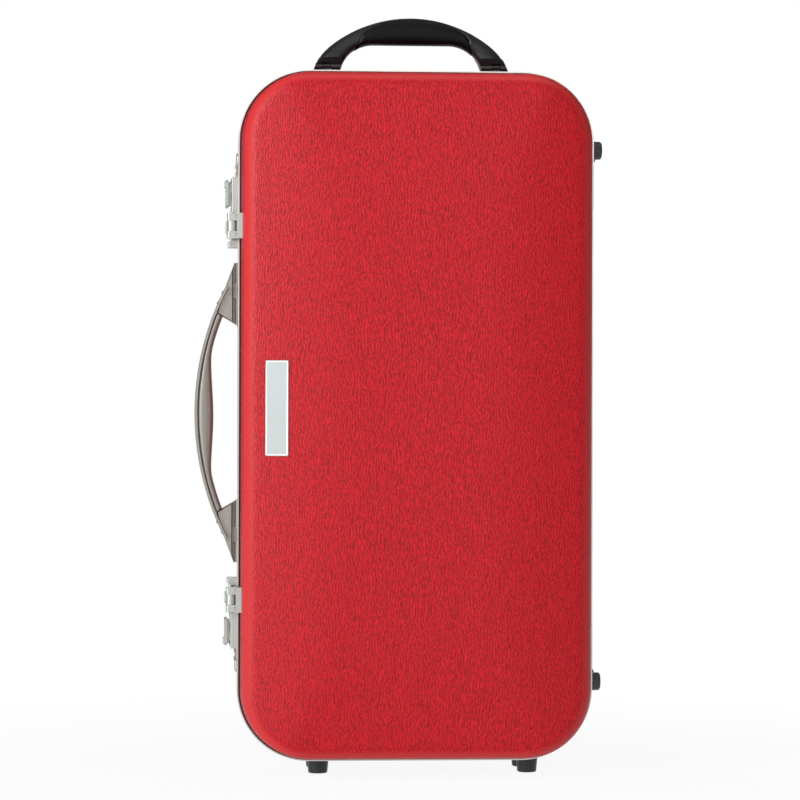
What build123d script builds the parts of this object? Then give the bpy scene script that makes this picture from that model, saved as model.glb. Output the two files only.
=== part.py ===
from build123d import *
import math
import os

# Bassoon case, in millimetres. The shapes are drawn about the middle of the seam plane, where the lid
# meets the base: X runs across, Y from the lid at the front to the base at the back, Z up.
# PLACE then stands the finished case on its bottom feet.

# Fits: radial play of pins and strap loops, cover left over blind shanks, how far side hardware is
# drawn inwards before the leather's face trims it, and how far cuts run past a face
pin_clearance = 0.05
loop_clearance = 0.08
shank_cover = 1.0
hardware_sink = 6.0
overrun = 1.0

# Outline of both shells at the seam, over the leather
case_width = 338.0
case_height = 658.0
corner_radius = 67.0
lid_draft = 4.5
base_draft = 2.0

# Shell wall: leather glued over a moulded core
leather_thickness = 1.2
core_thickness = 3.2

# Lid form, forwards of the seam
lid_depth = 40.0
lid_crown = 15.7
lid_flat_half_width = 50.0
lid_flat_half_height = 180.0
lid_end_drop = 6.9
lid_edge_radius = 13.0

# Base form, behind the seam
base_depth = 88.0
base_crown = 8.0
base_flat_half_width = 70.0
base_flat_half_height = 200.0
base_end_drop = 3.4
base_edge_radius = 15.0

# The end bow of a shell stays this much under the crest of its side bow
crest_step = 0.3
# The blank of the end bow is this much larger all round, so that its walls don't lie on the other's
bow_overlap = 0.05
bow_margin = 15.0

# Valance: the metal channel on the rim of each shell, and the tongue that lines them up
valance_proud = 2.0
valance_web = 1.2
valance_inner = 1.2
lid_flange = 7.0
base_flange = 10.0
tongue_thickness = 1.5
tongue_height = 4.0
tongue_gap = 0.4

# Hinges, on the right side
hinge_length = 41.0
hinge_radius = 2.2
hinge_inset = 0.6
hinge_centre_z = 221.0
hinge_pin_radius = 1.0
hinge_knuckles = 5
knuckle_gap = 0.2
leaf_thickness = 1.2
base_leaf_height = 16.0
lid_leaf_height = 14.0
hinge_rivet_spacing = 14.0
hinge_rivet_shift = 1.0
hinge_rivet_head = 1.9
hinge_rivet_crown = 0.5
hinge_rivet_shank = 1.1
hinge_cut_reach = 10.0
hinge_relief_angle = 57.0
hinge_clearance = 0.3

# Middle height of the handle and latches on the left side
hardware_z = 2.3

# Latches: a hasp on the lid, a housing with a sliding bolt on the base
latch_offset = 178.0
latch_half_length = 12.0
latch_cheek = 7.0
hasp_pin_out = 6.3
hasp_pin_y = -14.0
hasp_pin_radius = 1.5
hasp_knuckle_radius = 4.3
latch_cheek_reach = 4.6
hasp_out = 7.0
hasp_thickness = 2.6
hasp_half_width = 9.5
hasp_reach = 22.0
hasp_side_gap = 0.2
hasp_corner = 2.0
hasp_pin_head = 2.4
hasp_pin_head_height = 0.8
neck_length = 6.0
cover_gap = 1.2
latch_cheek_round = 2.5
lip_height = 2.4
lip_thickness = 2.4
lip_inset = 1.0
lip_half_width = 6.0
lip_round = 0.9
bracket_front = -26.0
bracket_back = -0.6
bracket_plate = 1.6
bracket_rivet_y = -22.5
bracket_rivet_inset = 3.5
staple_low = 1.8
staple_wall = 2.0
eye_clearance = 0.3
staple_start = 1.6
staple_end = 6.0
housing_front = 1.0
housing_back = 27.0
housing_end = 48.0
housing_height = 6.2
housing_plate = 1.2
housing_round = 1.0
housing_wall = 4.5
housing_rivet_inset = 4.0
box_start = 12.6
block_start = -19.5
block_end = -13.0
block_height = 9.6
block_round = 1.5
bolt_width = 6.0
bolt_y = 12.0
bolt_low = 3.0
bolt_high = 5.4
bolt_tip = 6.3
bolt_end = 36.0
bolt_travel = 6.5
bolt_clearance = 0.2
bolt_bevel = 1.2
carriage_low = 6.7
carriage_start = 20.2
carriage_end = 43.6
carriage_half_width = 4.2
blade_low = 9.4
blade_high = 12.0
blade_start = 18.6
blade_end = 45.2
blade_half_width = 9.0
blade_corner = 3.0
blade_bevel = 0.6
tab_height = 1.2
tab_length = 6.0
tab_half_width = 7.0
tab_inset = 1.2
tab_round = 0.5
stem_start = 24.0
stem_end = 34.0
stem_half_width = 2.7
stem_gap = 0.5
spring_wall = 0.35
spring_folds = 6
spring_shut = 3.3
spring_half_width = 2.0
spring_side_gap = 0.3

# Strap loops, beyond each latch
strap_plate_gap = 0.8
strap_plate_length = 12.5
strap_plate_width = 22.0
strap_plate_out = 1.2
strap_y = 46.0
strap_wire_radius = 1.5
strap_barrel_radius = 2.6
strap_loop_width = 33.0
strap_loop_length = 13.5
strap_bend_radius = 3.0
strap_barrel_inset = 3.0
strap_axis_inset = 0.2
strap_corner = 2.0
strap_rivet_rise = 4.5
strap_rivet_side = 6.5

# Side handle
handle_y = 28.0
handle_reach = 41.0
handle_bow_radius = 265.0
handle_band_thickness = 3.0
handle_band_width = 20.0
handle_band_half_length = 121.0
handle_axis_out = 3.9
handle_heel_radius = 3.25
handle_flank_angle = 49.5
handle_end_inner = 84.0
handle_end_tip = 144.5
handle_end_half_width = 4.8
handle_end_bevel = 1.2
handle_end_round = 2.5
handle_shoulder_out = 19.9
handle_shoulder_rise = 12.0
handle_tip_out = 3.0
handle_pin_radius = 1.25
handle_window_low = 111.0
handle_window_high = 124.5
handle_knuckle_radius = 2.5
handle_knuckle_room = 1.8
handle_knuckle_gap = 0.3
handle_pin_end = 9.0
handle_web_half_width = 2.0
handle_mount_half_width = 6.5
handle_mount_bottom = 83.0
handle_mount_top = 145.0
handle_mount_out = 0.2
handle_mount_corner = 3.0
handle_band_bevel = 0.5
handle_rivet_heights = (106.0, 116.0)
handle_rivet_length = 6.0
handle_rivet_head = 2.0
handle_rivet_crown = 0.7
handle_rivet_shank = 1.0
grip_thickness = 14.0
grip_half_length = 97.0
grip_end_thickness = 6.6
grip_width = 18.0
grip_round = 4.0

# Top handle
top_handle_x = -2.8
top_handle_y = 40.0
top_leg_spacing = 165.4
top_grip_width = 26.0
top_grip_round = 8.0
top_crest_height = 47.2
top_crown_radius = 125.3
top_outer_bend = 51.3
top_bend_out = 46.0
top_inner_height = 20.3
top_inner_flat = 36.5
top_inner_bend = 33.0
top_pin_radius = 2.5
top_heel_radius = 8.5
top_ear_thickness = 8.0
top_ear_radius = 5.0
top_plate_height = 2.0
top_plate_length = 32.0
top_plate_width = 20.0
top_ferrule_height = 7.0
top_ferrule_span = 30.0
top_flank_angle = 25.0
top_plate_corner = 4.0
top_ear_root = 4.0
top_ear_gap = 0.3
top_ear_room = 0.8
top_fork_height = 2.4
top_pin_half_length = 10.0
top_heel_gap = 0.5
top_screw_offset = 10.0
top_screw_radius = 1.5
top_screw_head = 3.0
top_screw_head_height = 2.0
top_screw_length = 7.5

# Rubber feet
foot_root_radius = 11.0
foot_tip_radius = 9.2
bottom_foot_length = 14.5
side_foot_length = 11.2
side_foot_root_radius = 9.2
side_foot_tip_radius = 8.6
bottom_foot_xs = (-92.0, 111.0)
side_foot_z = 258.0
foot_rows = (22.0, 70.0)
foot_screw_radius = 1.8
foot_screw_head = 3.6
foot_recess_depth = 7.0
foot_recess_gap = 0.2
foot_screw_head_height = 2.2
foot_screw_cover = 0.6
foot_sink = 4.0
bottom_foot_round = 1.5
side_foot_round = 2.5

# Bare plate on the lid
badge_width = 22.3
badge_height = 90.5
badge_thickness = 1.2
badge_corner = 1.5
badge_bevel = 0.4
badge_inset = 34.5
badge_z = 6.9

# Fitted tray in the base and padded lining in the lid
lining_gap = 0.3
tray_face = 12.0
pad_thickness = 6.0
pad_rim = 8.5
pocket_depth = 62.0
pocket_floor_radius = 9.0
pocket_lip = 3.0
pocket_corner = 10.0

# Each pocket: left, right, bottom, top
boot_pocket = (-154.0, -64.0, -272.0, 178.0)
reed_pocket = (-154.0, -64.0, 192.0, 272.0)
wing_pocket = (-54.0, 12.0, -300.0, 220.0)
swab_pocket = (-54.0, 12.0, 234.0, 304.0)
long_pocket = (22.0, 78.0, -312.0, 312.0)
bell_pocket = (88.0, 154.0, -272.0, 92.0)
crook_pocket = (88.0, 154.0, 106.0, 272.0)

# Rivets
rivet_radius = 1.3
rivet_head_radius = 2.5
rivet_head_height = 0.9
rivet_crown_share = 0.6

# Values that follow from the sizes above
wall = leather_thickness + core_thickness
side_face = case_width / 2 + valance_proud
badge_x = badge_inset - case_width / 2
ring_inner = wall + valance_inner
hinge_x = case_width / 2 + hinge_inset
latch_z = hardware_z + latch_offset
top_plate_z = case_height / 2 + top_plate_height
top_pivot_z = top_plate_z + top_heel_gap + top_heel_radius
handle_axis_x = -(side_face + handle_axis_out)
handle_bow_x = -side_face - handle_reach + handle_bow_radius
strap_axis_x = -side_face + strap_axis_inset
strap_start_z = latch_z + housing_end + strap_plate_gap
bottom_reach = case_height / 2 + valance_proud + bottom_foot_length
left_reach = side_face + handle_reach
right_reach = side_face + side_foot_length
front_reach = lid_depth + lid_crown
back_reach = base_depth + base_crown
PLACE = Pos((left_reach - right_reach) / 2, (front_reach - back_reach) / 2, bottom_reach)


def block(x0, x1, y0, y1, z0, z1):
    """A box between two corners."""
    return Pos((x0 + x1) / 2, (y0 + y1) / 2, (z0 + z1) / 2) * Box(x1 - x0, y1 - y0, z1 - z0)


def rod_x(radius, x0, x1, y, z):
    return Pos((x0 + x1) / 2, y, z) * Rot(0, 90, 0) * Cylinder(radius, x1 - x0)


def rod_y(radius, x, y0, y1, z):
    return Pos(x, (y0 + y1) / 2, z) * Rot(90, 0, 0) * Cylinder(radius, y1 - y0)


def rod_z(radius, x, y, z0, z1):
    return Pos(x, y, (z0 + z1) / 2) * Cylinder(radius, z1 - z0)


def left_block(out0, out1, y0, y1, z0, z1):
    """A box on the left side, out0 to out1 outwards from the valance face."""
    return block(-side_face - out1, -side_face - out0, y0, y1, z0, z1)


def wall_at(half, y):
    """How far the base's leather stands from the middle plane at depth y, with the wall's draft."""
    return half - y * math.tan(math.radians(base_draft))


def slab(front, back):
    """Everything between two depths."""
    return block(-case_width, case_width, front, back, -case_height, case_height)


def outline(offset):
    """The case's outline, grown by offset."""
    return RectangleRounded(
        case_width + 2 * offset, case_height + 2 * offset, corner_radius + offset
    )


def bow_face(half, flat, drop, level):
    """A flat crest with an arc each side that falls by drop at half, closed at the baseline."""
    radius = ((half - flat) ** 2 + drop**2) / (2 * drop)
    reach = half + bow_margin

    def rise(u):
        return level - radius + math.sqrt(radius**2 - (u - flat) ** 2)

    middle = (flat + reach) / 2
    crest = Line((-flat, level), (flat, level))
    right = ThreePointArc((flat, level), (middle, rise(middle)), (reach, rise(reach)))
    left = ThreePointArc((-reach, rise(reach)), (-middle, rise(middle)), (-flat, level))
    sides = [
        Line((reach, rise(reach)), (reach, -bow_margin)),
        Line((reach, -bow_margin), (-reach, -bow_margin)),
        Line((-reach, -bow_margin), (-reach, rise(reach))),
    ]
    return make_face(Curve() + [left, crest, right, *sides])


def rim_edges(body, half_width, half_height, depth):
    """The closed edge where the walls of a form meet its bowed face."""
    found = []
    for edge in body.edges():
        middle = edge @ 0.5
        near_side = abs(middle.X) > half_width - corner_radius
        near_end = abs(middle.Z) > half_height - corner_radius
        if (near_side or near_end) and edge.bounding_box().max.Y < -depth / 2:
            found.append(edge)
    return found


def shell_form(inset, draft, depth, crown, flat_width, flat_height, end_drop, edge_radius):
    """Solid form of a shell, growing towards -Y: drafted walls, a rounded edge, and a face that
    bows across and bows along, so that the two bows meet in soft creases towards the corners."""
    half_width = case_width / 2 - inset
    half_height = case_height / 2 - inset
    deep = depth - inset
    radius = edge_radius - inset
    tall = depth + 2 * crown
    blank = extrude(Plane.XZ * outline(-inset), amount=tall, taper=draft)
    grown = extrude(Plane.XZ * outline(bow_overlap - inset), amount=tall, taper=draft)
    across = bow_face(half_width, flat_width, crown, deep + crown)
    across_plane = Plane(origin=(0, 0, 0), x_dir=(1, 0, 0), z_dir=(0, 0, -1))
    across_form = extrude(across_plane * across, amount=case_height, both=True)
    along = bow_face(half_height, flat_height, end_drop, deep + crown - crest_step)
    along_plane = Plane(origin=(0, 0, 0), x_dir=(0, 0, 1), z_dir=(1, 0, 0))
    along_form = extrude(along_plane * along, amount=case_width, both=True)
    side_bowed = blank & across_form
    side_bowed = fillet(rim_edges(side_bowed, half_width, half_height, deep), radius)
    end_bowed = grown & along_form
    end_bowed = fillet(rim_edges(end_bowed, half_width, half_height, deep), radius)
    return side_bowed & end_bowed


def lid_form(inset):
    return shell_form(
        inset,
        lid_draft,
        lid_depth,
        lid_crown,
        lid_flat_half_width,
        lid_flat_half_height,
        lid_end_drop,
        lid_edge_radius,
    )


def base_form(inset):
    form = shell_form(
        inset,
        base_draft,
        base_depth,
        base_crown,
        base_flat_half_width,
        base_flat_half_height,
        base_end_drop,
        base_edge_radius,
    )
    return mirror(form, Plane.XZ)


def ring(outer, inner, front, back):
    """A flat ring along the outline between two offsets, from front to back in Y."""
    return Pos(0, back, 0) * extrude(Plane.XZ * (outline(outer) - outline(inner)), amount=back - front)


def hinge_slot(clearance):
    """Room at the seam for both hinge barrels."""
    reach = hinge_radius + clearance
    half = hinge_length / 2 + clearance
    slots = [
        block(hinge_x - reach, hinge_x + hinge_cut_reach, -reach, reach, z - half, z + half)
        for z in (-hinge_centre_z, hinge_centre_z)
    ]
    return Part() + slots


def flange_gap():
    """The valances' outer flanges stop each side of a hinge, where its leaves lie."""
    half = hinge_length / 2 + hinge_clearance
    inner, outer = case_width / 2 - overrun, hinge_x + hinge_cut_reach
    front, back = -lid_flange - overrun, base_flange + overrun
    gaps = [
        block(inner, outer, front, back, z - half, z + half)
        for z in (-hinge_centre_z, hinge_centre_z)
    ]
    return Part() + gaps


def hinge_relief():
    """A V along the hinge side of the seam, so that the rims turn past each other."""
    out = valance_proud + overrun
    inner = hinge_x - hinge_clearance
    rise = (out + hinge_clearance) * math.tan(math.radians(hinge_relief_angle))
    points = [(inner, 0), (inner + out + hinge_clearance, rise), (inner + out + hinge_clearance, -rise)]
    face = make_face(Polyline(*points, close=True))
    return extrude(face, amount=case_height / 2, both=True)


def lid_wall(form, cavity):
    return form - cavity - slab(-valance_web, overrun)


def base_wall(form, cavity):
    return form - cavity - slab(-overrun, valance_web)


def lid_valance(walls):
    rim = ring(valance_proud, -ring_inner, -lid_flange, 0)
    return rim - walls - hinge_slot(hinge_clearance) - flange_gap() - hinge_relief()


def base_valance(walls):
    tongue_outer = -(ring_inner + tongue_gap)
    tongue_inner = tongue_outer - tongue_thickness
    rim = ring(valance_proud, tongue_inner, 0, base_flange)
    tongue = ring(tongue_outer, tongue_inner, -tongue_height, 0)
    return rim + tongue - walls - hinge_slot(hinge_clearance) - flange_gap() - hinge_relief()


def hinge_leaf(z, height, direction, own, walls):
    """One leaf with its knuckles: direction is -1 for the lid and 1 for the base."""
    knuckle = (hinge_length - (hinge_knuckles - 1) * knuckle_gap) / hinge_knuckles
    outer = case_width / 2 + leaf_thickness
    start = hinge_radius + hinge_clearance
    low, high = sorted((direction * start, direction * height))
    bottom, top = z - hinge_length / 2, z + hinge_length / 2
    leaf = block(outer - hardware_sink, outer, low, high, bottom, top) - walls
    low, high = sorted((0, direction * (start + leaf_thickness)))
    for index in own:
        start_z = bottom + index * (knuckle + knuckle_gap)
        leaf += block(outer - leaf_thickness, outer, low, high, start_z, start_z + knuckle)
        leaf += rod_z(hinge_radius, hinge_x, 0, start_z, start_z + knuckle)
    return leaf - rod_z(hinge_pin_radius + pin_clearance, hinge_x, 0, bottom - overrun, top + overrun)


def rivet(length, head_radius=rivet_head_radius, head=rivet_head_height, shank=rivet_radius):
    """A domed head above the local origin and a shank below it."""
    body = Pos(0, 0, -length / 2) * Cylinder(shank, length)
    dome = Pos(0, 0, head / 2) * Cone(head_radius, head_radius * rivet_crown_share, head)
    return body + dome


def rivets_left(out, points, length):
    """Rivets in the left side, heads outwards."""
    return [Pos(-side_face - out, y, z) * Rot(0, -90, 0) * rivet(length) for y, z in points]


def hinge_rivets(height, direction):
    outer = case_width / 2 + leaf_thickness
    middle = direction * ((hinge_radius + height) / 2 + hinge_rivet_shift)
    length = leaf_thickness + wall - shank_cover
    one = Rot(0, 90, 0) * rivet(length, hinge_rivet_head, hinge_rivet_crown, hinge_rivet_shank)
    return [
        Pos(outer, middle, z + step * hinge_rivet_spacing) * one
        for z in (-hinge_centre_z, hinge_centre_z)
        for step in (-1, 0, 1)
    ]


def lower(shape):
    """The lower latch's copy of an upper piece, mirrored about the middle height of the hardware."""
    return mirror(shape, Plane.XY.offset(hardware_z))


def latch_housing(base_solid):
    """Housing of the upper latch, cast in one: plate, box for the bolt, and end block."""
    z = latch_z
    front, back = housing_front, housing_back
    body = left_block(-hardware_sink, housing_plate, front, back, z + block_start, z + housing_end)
    box = left_block(0, housing_height, front, back, z + box_start, z + housing_end)
    end = left_block(0, block_height, front, back, z + block_start, z + block_end)
    box = fillet(box.edges().group_by(Axis.X)[0], housing_round)
    body += left_block(0, housing_height, back - housing_wall, back, z + block_end, z + box_start)
    end = fillet(end.edges().group_by(Axis.X)[0], block_round)
    half = bolt_width / 2 + bolt_clearance
    channel_end = bolt_end + bolt_travel + spring_shut
    low, high = bolt_low - bolt_clearance, bolt_high + bolt_clearance
    channel = left_block(low, high, bolt_y - half, bolt_y + half, z, z + channel_end)
    slot = left_block(
        bolt_high, housing_height + overrun, bolt_y - half, bolt_y + half,
        z + stem_start - stem_gap, z + stem_end + bolt_travel + stem_gap,
    )
    rim = extrude(Plane.XZ * outline(valance_proud), amount=-base_flange)
    return body + box + end - channel - slot - rim - base_solid


def latch_slide():
    """The bolt, its stem and carriage, and the thumb blade of the upper latch."""
    z = latch_z
    half = bolt_width / 2
    bolt = left_block(bolt_low, bolt_high, bolt_y - half, bolt_y + half, z + bolt_tip, z + bolt_end)
    bolt = chamfer(bolt.edges().group_by(Axis.Z)[0].sort_by(Axis.X)[0], bolt_bevel)
    stem = left_block(
        bolt_high, carriage_low, bolt_y - stem_half_width, bolt_y + stem_half_width,
        z + stem_start, z + stem_end,
    )
    stem += left_block(
        carriage_low, blade_low, bolt_y - carriage_half_width, bolt_y + carriage_half_width,
        z + carriage_start, z + carriage_end,
    )
    blade = left_block(
        blade_low, blade_high, bolt_y - blade_half_width, bolt_y + blade_half_width,
        z + blade_start, z + blade_end,
    )
    blade = fillet(blade.edges().filter_by(Axis.X), blade_corner)
    blade = chamfer(blade.faces().sort_by(Axis.X)[0].edges(), blade_bevel)
    top = z + blade_end - tab_inset
    front, back = bolt_y - tab_half_width, bolt_y + tab_half_width
    tab = left_block(blade_high, blade_high + tab_height, front, back, top - tab_length, top)
    tab = fillet(tab.edges().group_by(Axis.X)[0], tab_round)
    return bolt + stem + blade + tab


def latch_spring():
    """Folded strip spring between the bolt and the end of its channel."""
    z = latch_z
    start = z + bolt_end
    end = start + bolt_travel + spring_shut
    low = -side_face - bolt_high + spring_side_gap
    high = -side_face - bolt_low - spring_side_gap
    pitch = (end - start - spring_wall) / spring_folds
    points = [
        (low if index % 2 else high, start + spring_wall / 2 + index * pitch)
        for index in range(spring_folds + 1)
    ]
    strip = trace(Polyline(*points), spring_wall)
    return Pos(0, bolt_y, 0) * extrude(Plane.XZ * strip, amount=spring_half_width, both=True)


def latch_bracket(lid_solid):
    """Lid side of the upper latch: a plate with two cheeks for the hasp's pin."""
    z = latch_z
    half = latch_half_length
    plate = left_block(-hardware_sink, bracket_plate, bracket_front, bracket_back, z - half, z + half)
    x = -side_face - hasp_pin_out
    cheeks = Part()
    for low in (z - half, z + half - latch_cheek):
        cheek = left_block(
            0, hasp_pin_out + latch_cheek_reach, hasp_pin_y - latch_cheek_reach,
            hasp_pin_y + latch_cheek_reach, low, low + latch_cheek,
        )
        outer = cheek.edges().filter_by(Axis.Z).sort_by(Axis.X)[:2]
        cheeks += fillet(outer, latch_cheek_round)
    bore = rod_z(hasp_pin_radius, x, hasp_pin_y, z - half - overrun, z + half + overrun)
    rim = extrude(Plane.XZ * outline(valance_proud), amount=lid_flange)
    return plate + cheeks - bore - rim - lid_solid


def hasp():
    """The upper latch's hasp: knuckle, neck, cover plate with a lifted lip, and the staple."""
    z = latch_z
    x = -side_face - hasp_pin_out
    inner = latch_half_length - latch_cheek - hasp_side_gap
    outer = hasp_out + hasp_thickness
    knuckle = rod_z(hasp_knuckle_radius, x, hasp_pin_y, z - inner, z + inner)
    neck = left_block(hasp_out, outer, hasp_pin_y, hasp_pin_y + neck_length, z - inner, z + inner)
    start = hasp_pin_y + latch_cheek_reach + cover_gap
    cover = left_block(hasp_out, outer, start, hasp_reach, z - hasp_half_width, z + hasp_half_width)
    cover = fillet(cover.edges().filter_by(Axis.X), hasp_corner)
    back = hasp_reach - lip_inset
    lip = left_block(
        hasp_out, outer + lip_height, back - lip_thickness, back, z - lip_half_width, z + lip_half_width
    )
    lip = fillet(lip.edges().group_by(Axis.X)[0], lip_round)
    half = bolt_width / 2 + staple_wall
    front, back = bolt_y - half, bolt_y + half
    staple = left_block(staple_low, hasp_out, front, back, z + staple_start, z + staple_end)
    low, high = bolt_low - eye_clearance, bolt_high + eye_clearance
    half = bolt_width / 2 + eye_clearance
    eye = left_block(low, high, bolt_y - half, bolt_y + half, z, z + staple_end + overrun)
    reach = inner + overrun
    bore = rod_z(hasp_pin_radius + pin_clearance, x, hasp_pin_y, z - reach, z + reach)
    return knuckle + neck + cover + lip + (staple - eye) - bore


def hasp_pin():
    """Headed pin through the cheeks and the hasp's knuckle."""
    x = -side_face - hasp_pin_out
    half = latch_half_length
    shaft = rod_z(hasp_pin_radius, x, hasp_pin_y, latch_z - half, latch_z + half)
    tip = half + hasp_pin_head_height
    heads = rod_z(hasp_pin_head, x, hasp_pin_y, latch_z + half, latch_z + tip)
    heads += rod_z(hasp_pin_head, x, hasp_pin_y, latch_z - tip, latch_z - half)
    return shaft + heads


def housing_rivets():
    inset = housing_rivet_inset
    heights = (latch_z + box_start + inset, latch_z + housing_end - inset)
    points = [(y, z) for y in (housing_front + inset, housing_back - inset) for z in heights]
    return rivets_left(housing_height, points, housing_height + valance_proud + wall - shank_cover)


def bracket_rivets():
    reach = latch_half_length - bracket_rivet_inset
    points = [(bracket_rivet_y, latch_z + side * reach) for side in (-1, 1)]
    return rivets_left(bracket_plate, points, bracket_plate + valance_proud + wall - shank_cover)


def strap_plate(base_solid):
    """Cast saddle with a rolled barrel that holds a strap loop."""
    z = strap_start_z
    half = strap_plate_width / 2
    axis_z = z + strap_plate_length
    plate = left_block(-hardware_sink, strap_plate_out, strap_y - half, strap_y + half, z, axis_z)
    plate = fillet(plate.edges().filter_by(Axis.X), strap_corner)
    reach = half - strap_barrel_inset
    barrel = rod_y(strap_barrel_radius, strap_axis_x, strap_y - reach, strap_y + reach, axis_z)
    bore = rod_y(strap_wire_radius + loop_clearance, strap_axis_x, strap_y - half, strap_y + half, axis_z)
    return plate + barrel - bore - base_solid


def strap_loop():
    """Rectangular wire loop, one side of it in the saddle's barrel."""
    z = strap_start_z + strap_plate_length
    half = strap_loop_width / 2 - strap_wire_radius
    span = strap_loop_length - 2 * strap_wire_radius
    path = Plane(origin=(strap_axis_x, strap_y, z + span / 2), x_dir=(0, 1, 0), z_dir=(1, 0, 0))
    wire = path * RectangleRounded(2 * half, span, strap_bend_radius)
    section = Plane(origin=(strap_axis_x, strap_y, z), x_dir=(1, 0, 0), z_dir=(0, 1, 0))
    return sweep(section * Circle(strap_wire_radius), path=wire.wire())


def strap_rivets():
    z = strap_start_z + strap_rivet_rise
    points = [(strap_y - strap_rivet_side, z), (strap_y + strap_rivet_side, z)]
    step = side_face - wall_at(case_width / 2, strap_y)
    return rivets_left(strap_plate_out, points, strap_plate_out + step + wall - shank_cover)


def handle_wedge(reach):
    """Seen along the pivot: a round heel that widens outwards, so the end can swing."""
    slope = math.tan(math.radians(handle_flank_angle))
    wide = handle_heel_radius + slope * reach
    x = handle_axis_x
    points = [
        (x, handle_y - handle_heel_radius),
        (x, handle_y + handle_heel_radius),
        (x - reach, handle_y + wide),
        (x - reach, handle_y - wide),
    ]
    face = make_face(Polyline(*points, close=True)) + Pos(x, handle_y) * Circle(handle_heel_radius)
    return extrude(face, amount=case_height / 2, both=True)


def band_x(radius, height):
    """Where an arc about the bow's centre stands at a height from the handle's middle."""
    return handle_bow_x - math.sqrt(radius**2 - height**2)


def handle_end_face():
    """Front view of one cast end, from the valance out to the bowed band."""
    x = -side_face
    points = [
        (x, handle_end_inner),
        (x - handle_shoulder_out, handle_end_inner + handle_shoulder_rise),
        (band_x(handle_bow_radius, handle_band_half_length), handle_band_half_length),
        (x - handle_tip_out, handle_end_tip),
        (x, handle_end_tip),
    ]
    face = make_face(Polyline(*points, close=True))
    return Plane.XZ * fillet(face.vertices().sort_by(Axis.X)[0], handle_end_round)


def handle_end(band_outer):
    """Cast end of the side handle, with the window over its pivot pin."""
    body = Pos(0, handle_y, 0) * extrude(handle_end_face(), amount=handle_end_half_width, both=True)
    body = chamfer(body.edges().group_by(Axis.Y)[0] + body.edges().group_by(Axis.Y)[-1], handle_end_bevel)
    body = body & handle_wedge(handle_shoulder_out)
    low, high = handle_window_low, handle_window_high
    knuckle_room = rod_z(handle_knuckle_radius + handle_knuckle_room, handle_axis_x, handle_y, low, high)
    half = handle_end_half_width + overrun
    window = block(handle_axis_x, -side_face, handle_y - half, handle_y + half, low, high)
    return body - knuckle_room - window - handle_pin() - band_outer


def handle_pin():
    low, high = handle_window_low - handle_pin_end, handle_window_high + handle_pin_end
    return rod_z(handle_pin_radius, handle_axis_x, handle_y, low, high)


def handle_mount(base_solid):
    """Plate on the base's side with the knuckle that carries one end of the handle."""
    x = handle_axis_x
    low = handle_window_low + handle_knuckle_gap
    high = handle_window_high - handle_knuckle_gap
    front, back = handle_y - handle_mount_half_width, handle_y + handle_mount_half_width
    bottom, top = handle_mount_bottom, handle_mount_top
    plate = left_block(-hardware_sink, handle_mount_out, front, back, bottom, top)
    plate = fillet(plate.edges().filter_by(Axis.X), handle_mount_corner)
    front, back = handle_y - handle_web_half_width, handle_y + handle_web_half_width
    web = block(x, -side_face + overrun, front, back, low, high)
    knuckle = rod_z(handle_knuckle_radius, x, handle_y, low, high)
    bore = rod_z(handle_pin_radius + pin_clearance, x, handle_y, low - overrun, high + overrun)
    return plate + web + knuckle - bore - base_solid


def handle_band_form(half_length, inner, outer, width):
    """The bowed space between two radii about the handle's bow centre."""
    disc = Circle(handle_bow_radius - outer) - Circle(handle_bow_radius - inner)
    bow = Pos(handle_bow_x, handle_y, 0) * extrude(Plane.XZ * disc, amount=width / 2, both=True)
    front, back = handle_y - handle_reach, handle_y + handle_reach
    return bow & block(-side_face - 2 * handle_reach, -side_face, front, back, -half_length, half_length)


def handle_band():
    band = handle_band_form(handle_band_half_length, handle_band_thickness, 0, handle_band_width)
    return chamfer(band.edges().filter_by(GeomType.CIRCLE), handle_band_bevel)


def handle_grip():
    """Grip inside the band: bowed like it outside, straight where the fingers go."""
    x = -side_face - handle_reach + handle_band_thickness
    bowed = handle_band_form(grip_half_length, handle_reach, handle_band_thickness, grip_width)
    inner = x + grip_thickness
    front, back = handle_y - grip_width, handle_y + grip_width
    body = bowed & block(x - overrun, inner, front, back, -grip_half_length, grip_half_length)
    inner_radius = handle_band_thickness + grip_end_thickness
    body += handle_band_form(grip_half_length, inner_radius, handle_band_thickness, grip_width)
    for hand in (1, -1):
        end = Pos(0, handle_y, 0) * extrude(handle_end_face(), amount=grip_width, both=True)
        body -= end if hand > 0 else mirror(end, Plane.XY)
    edges = body.edges().filter_by(lambda edge: edge.length > grip_half_length)
    return fillet(edges.filter_by(lambda edge: edge.center().X > inner - overrun), grip_round)


def handle_rivets():
    """Rivets that hold the band on the cast ends."""
    places = []
    one = rivet(handle_rivet_length, handle_rivet_head, handle_rivet_crown, handle_rivet_shank)
    for height in handle_rivet_heights:
        angle = math.asin(height / handle_bow_radius)
        place = Pos(band_x(handle_bow_radius, height), handle_y, height)
        places.append(place * Rot(0, math.degrees(angle) - 90, 0) * one)
    return places


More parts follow.
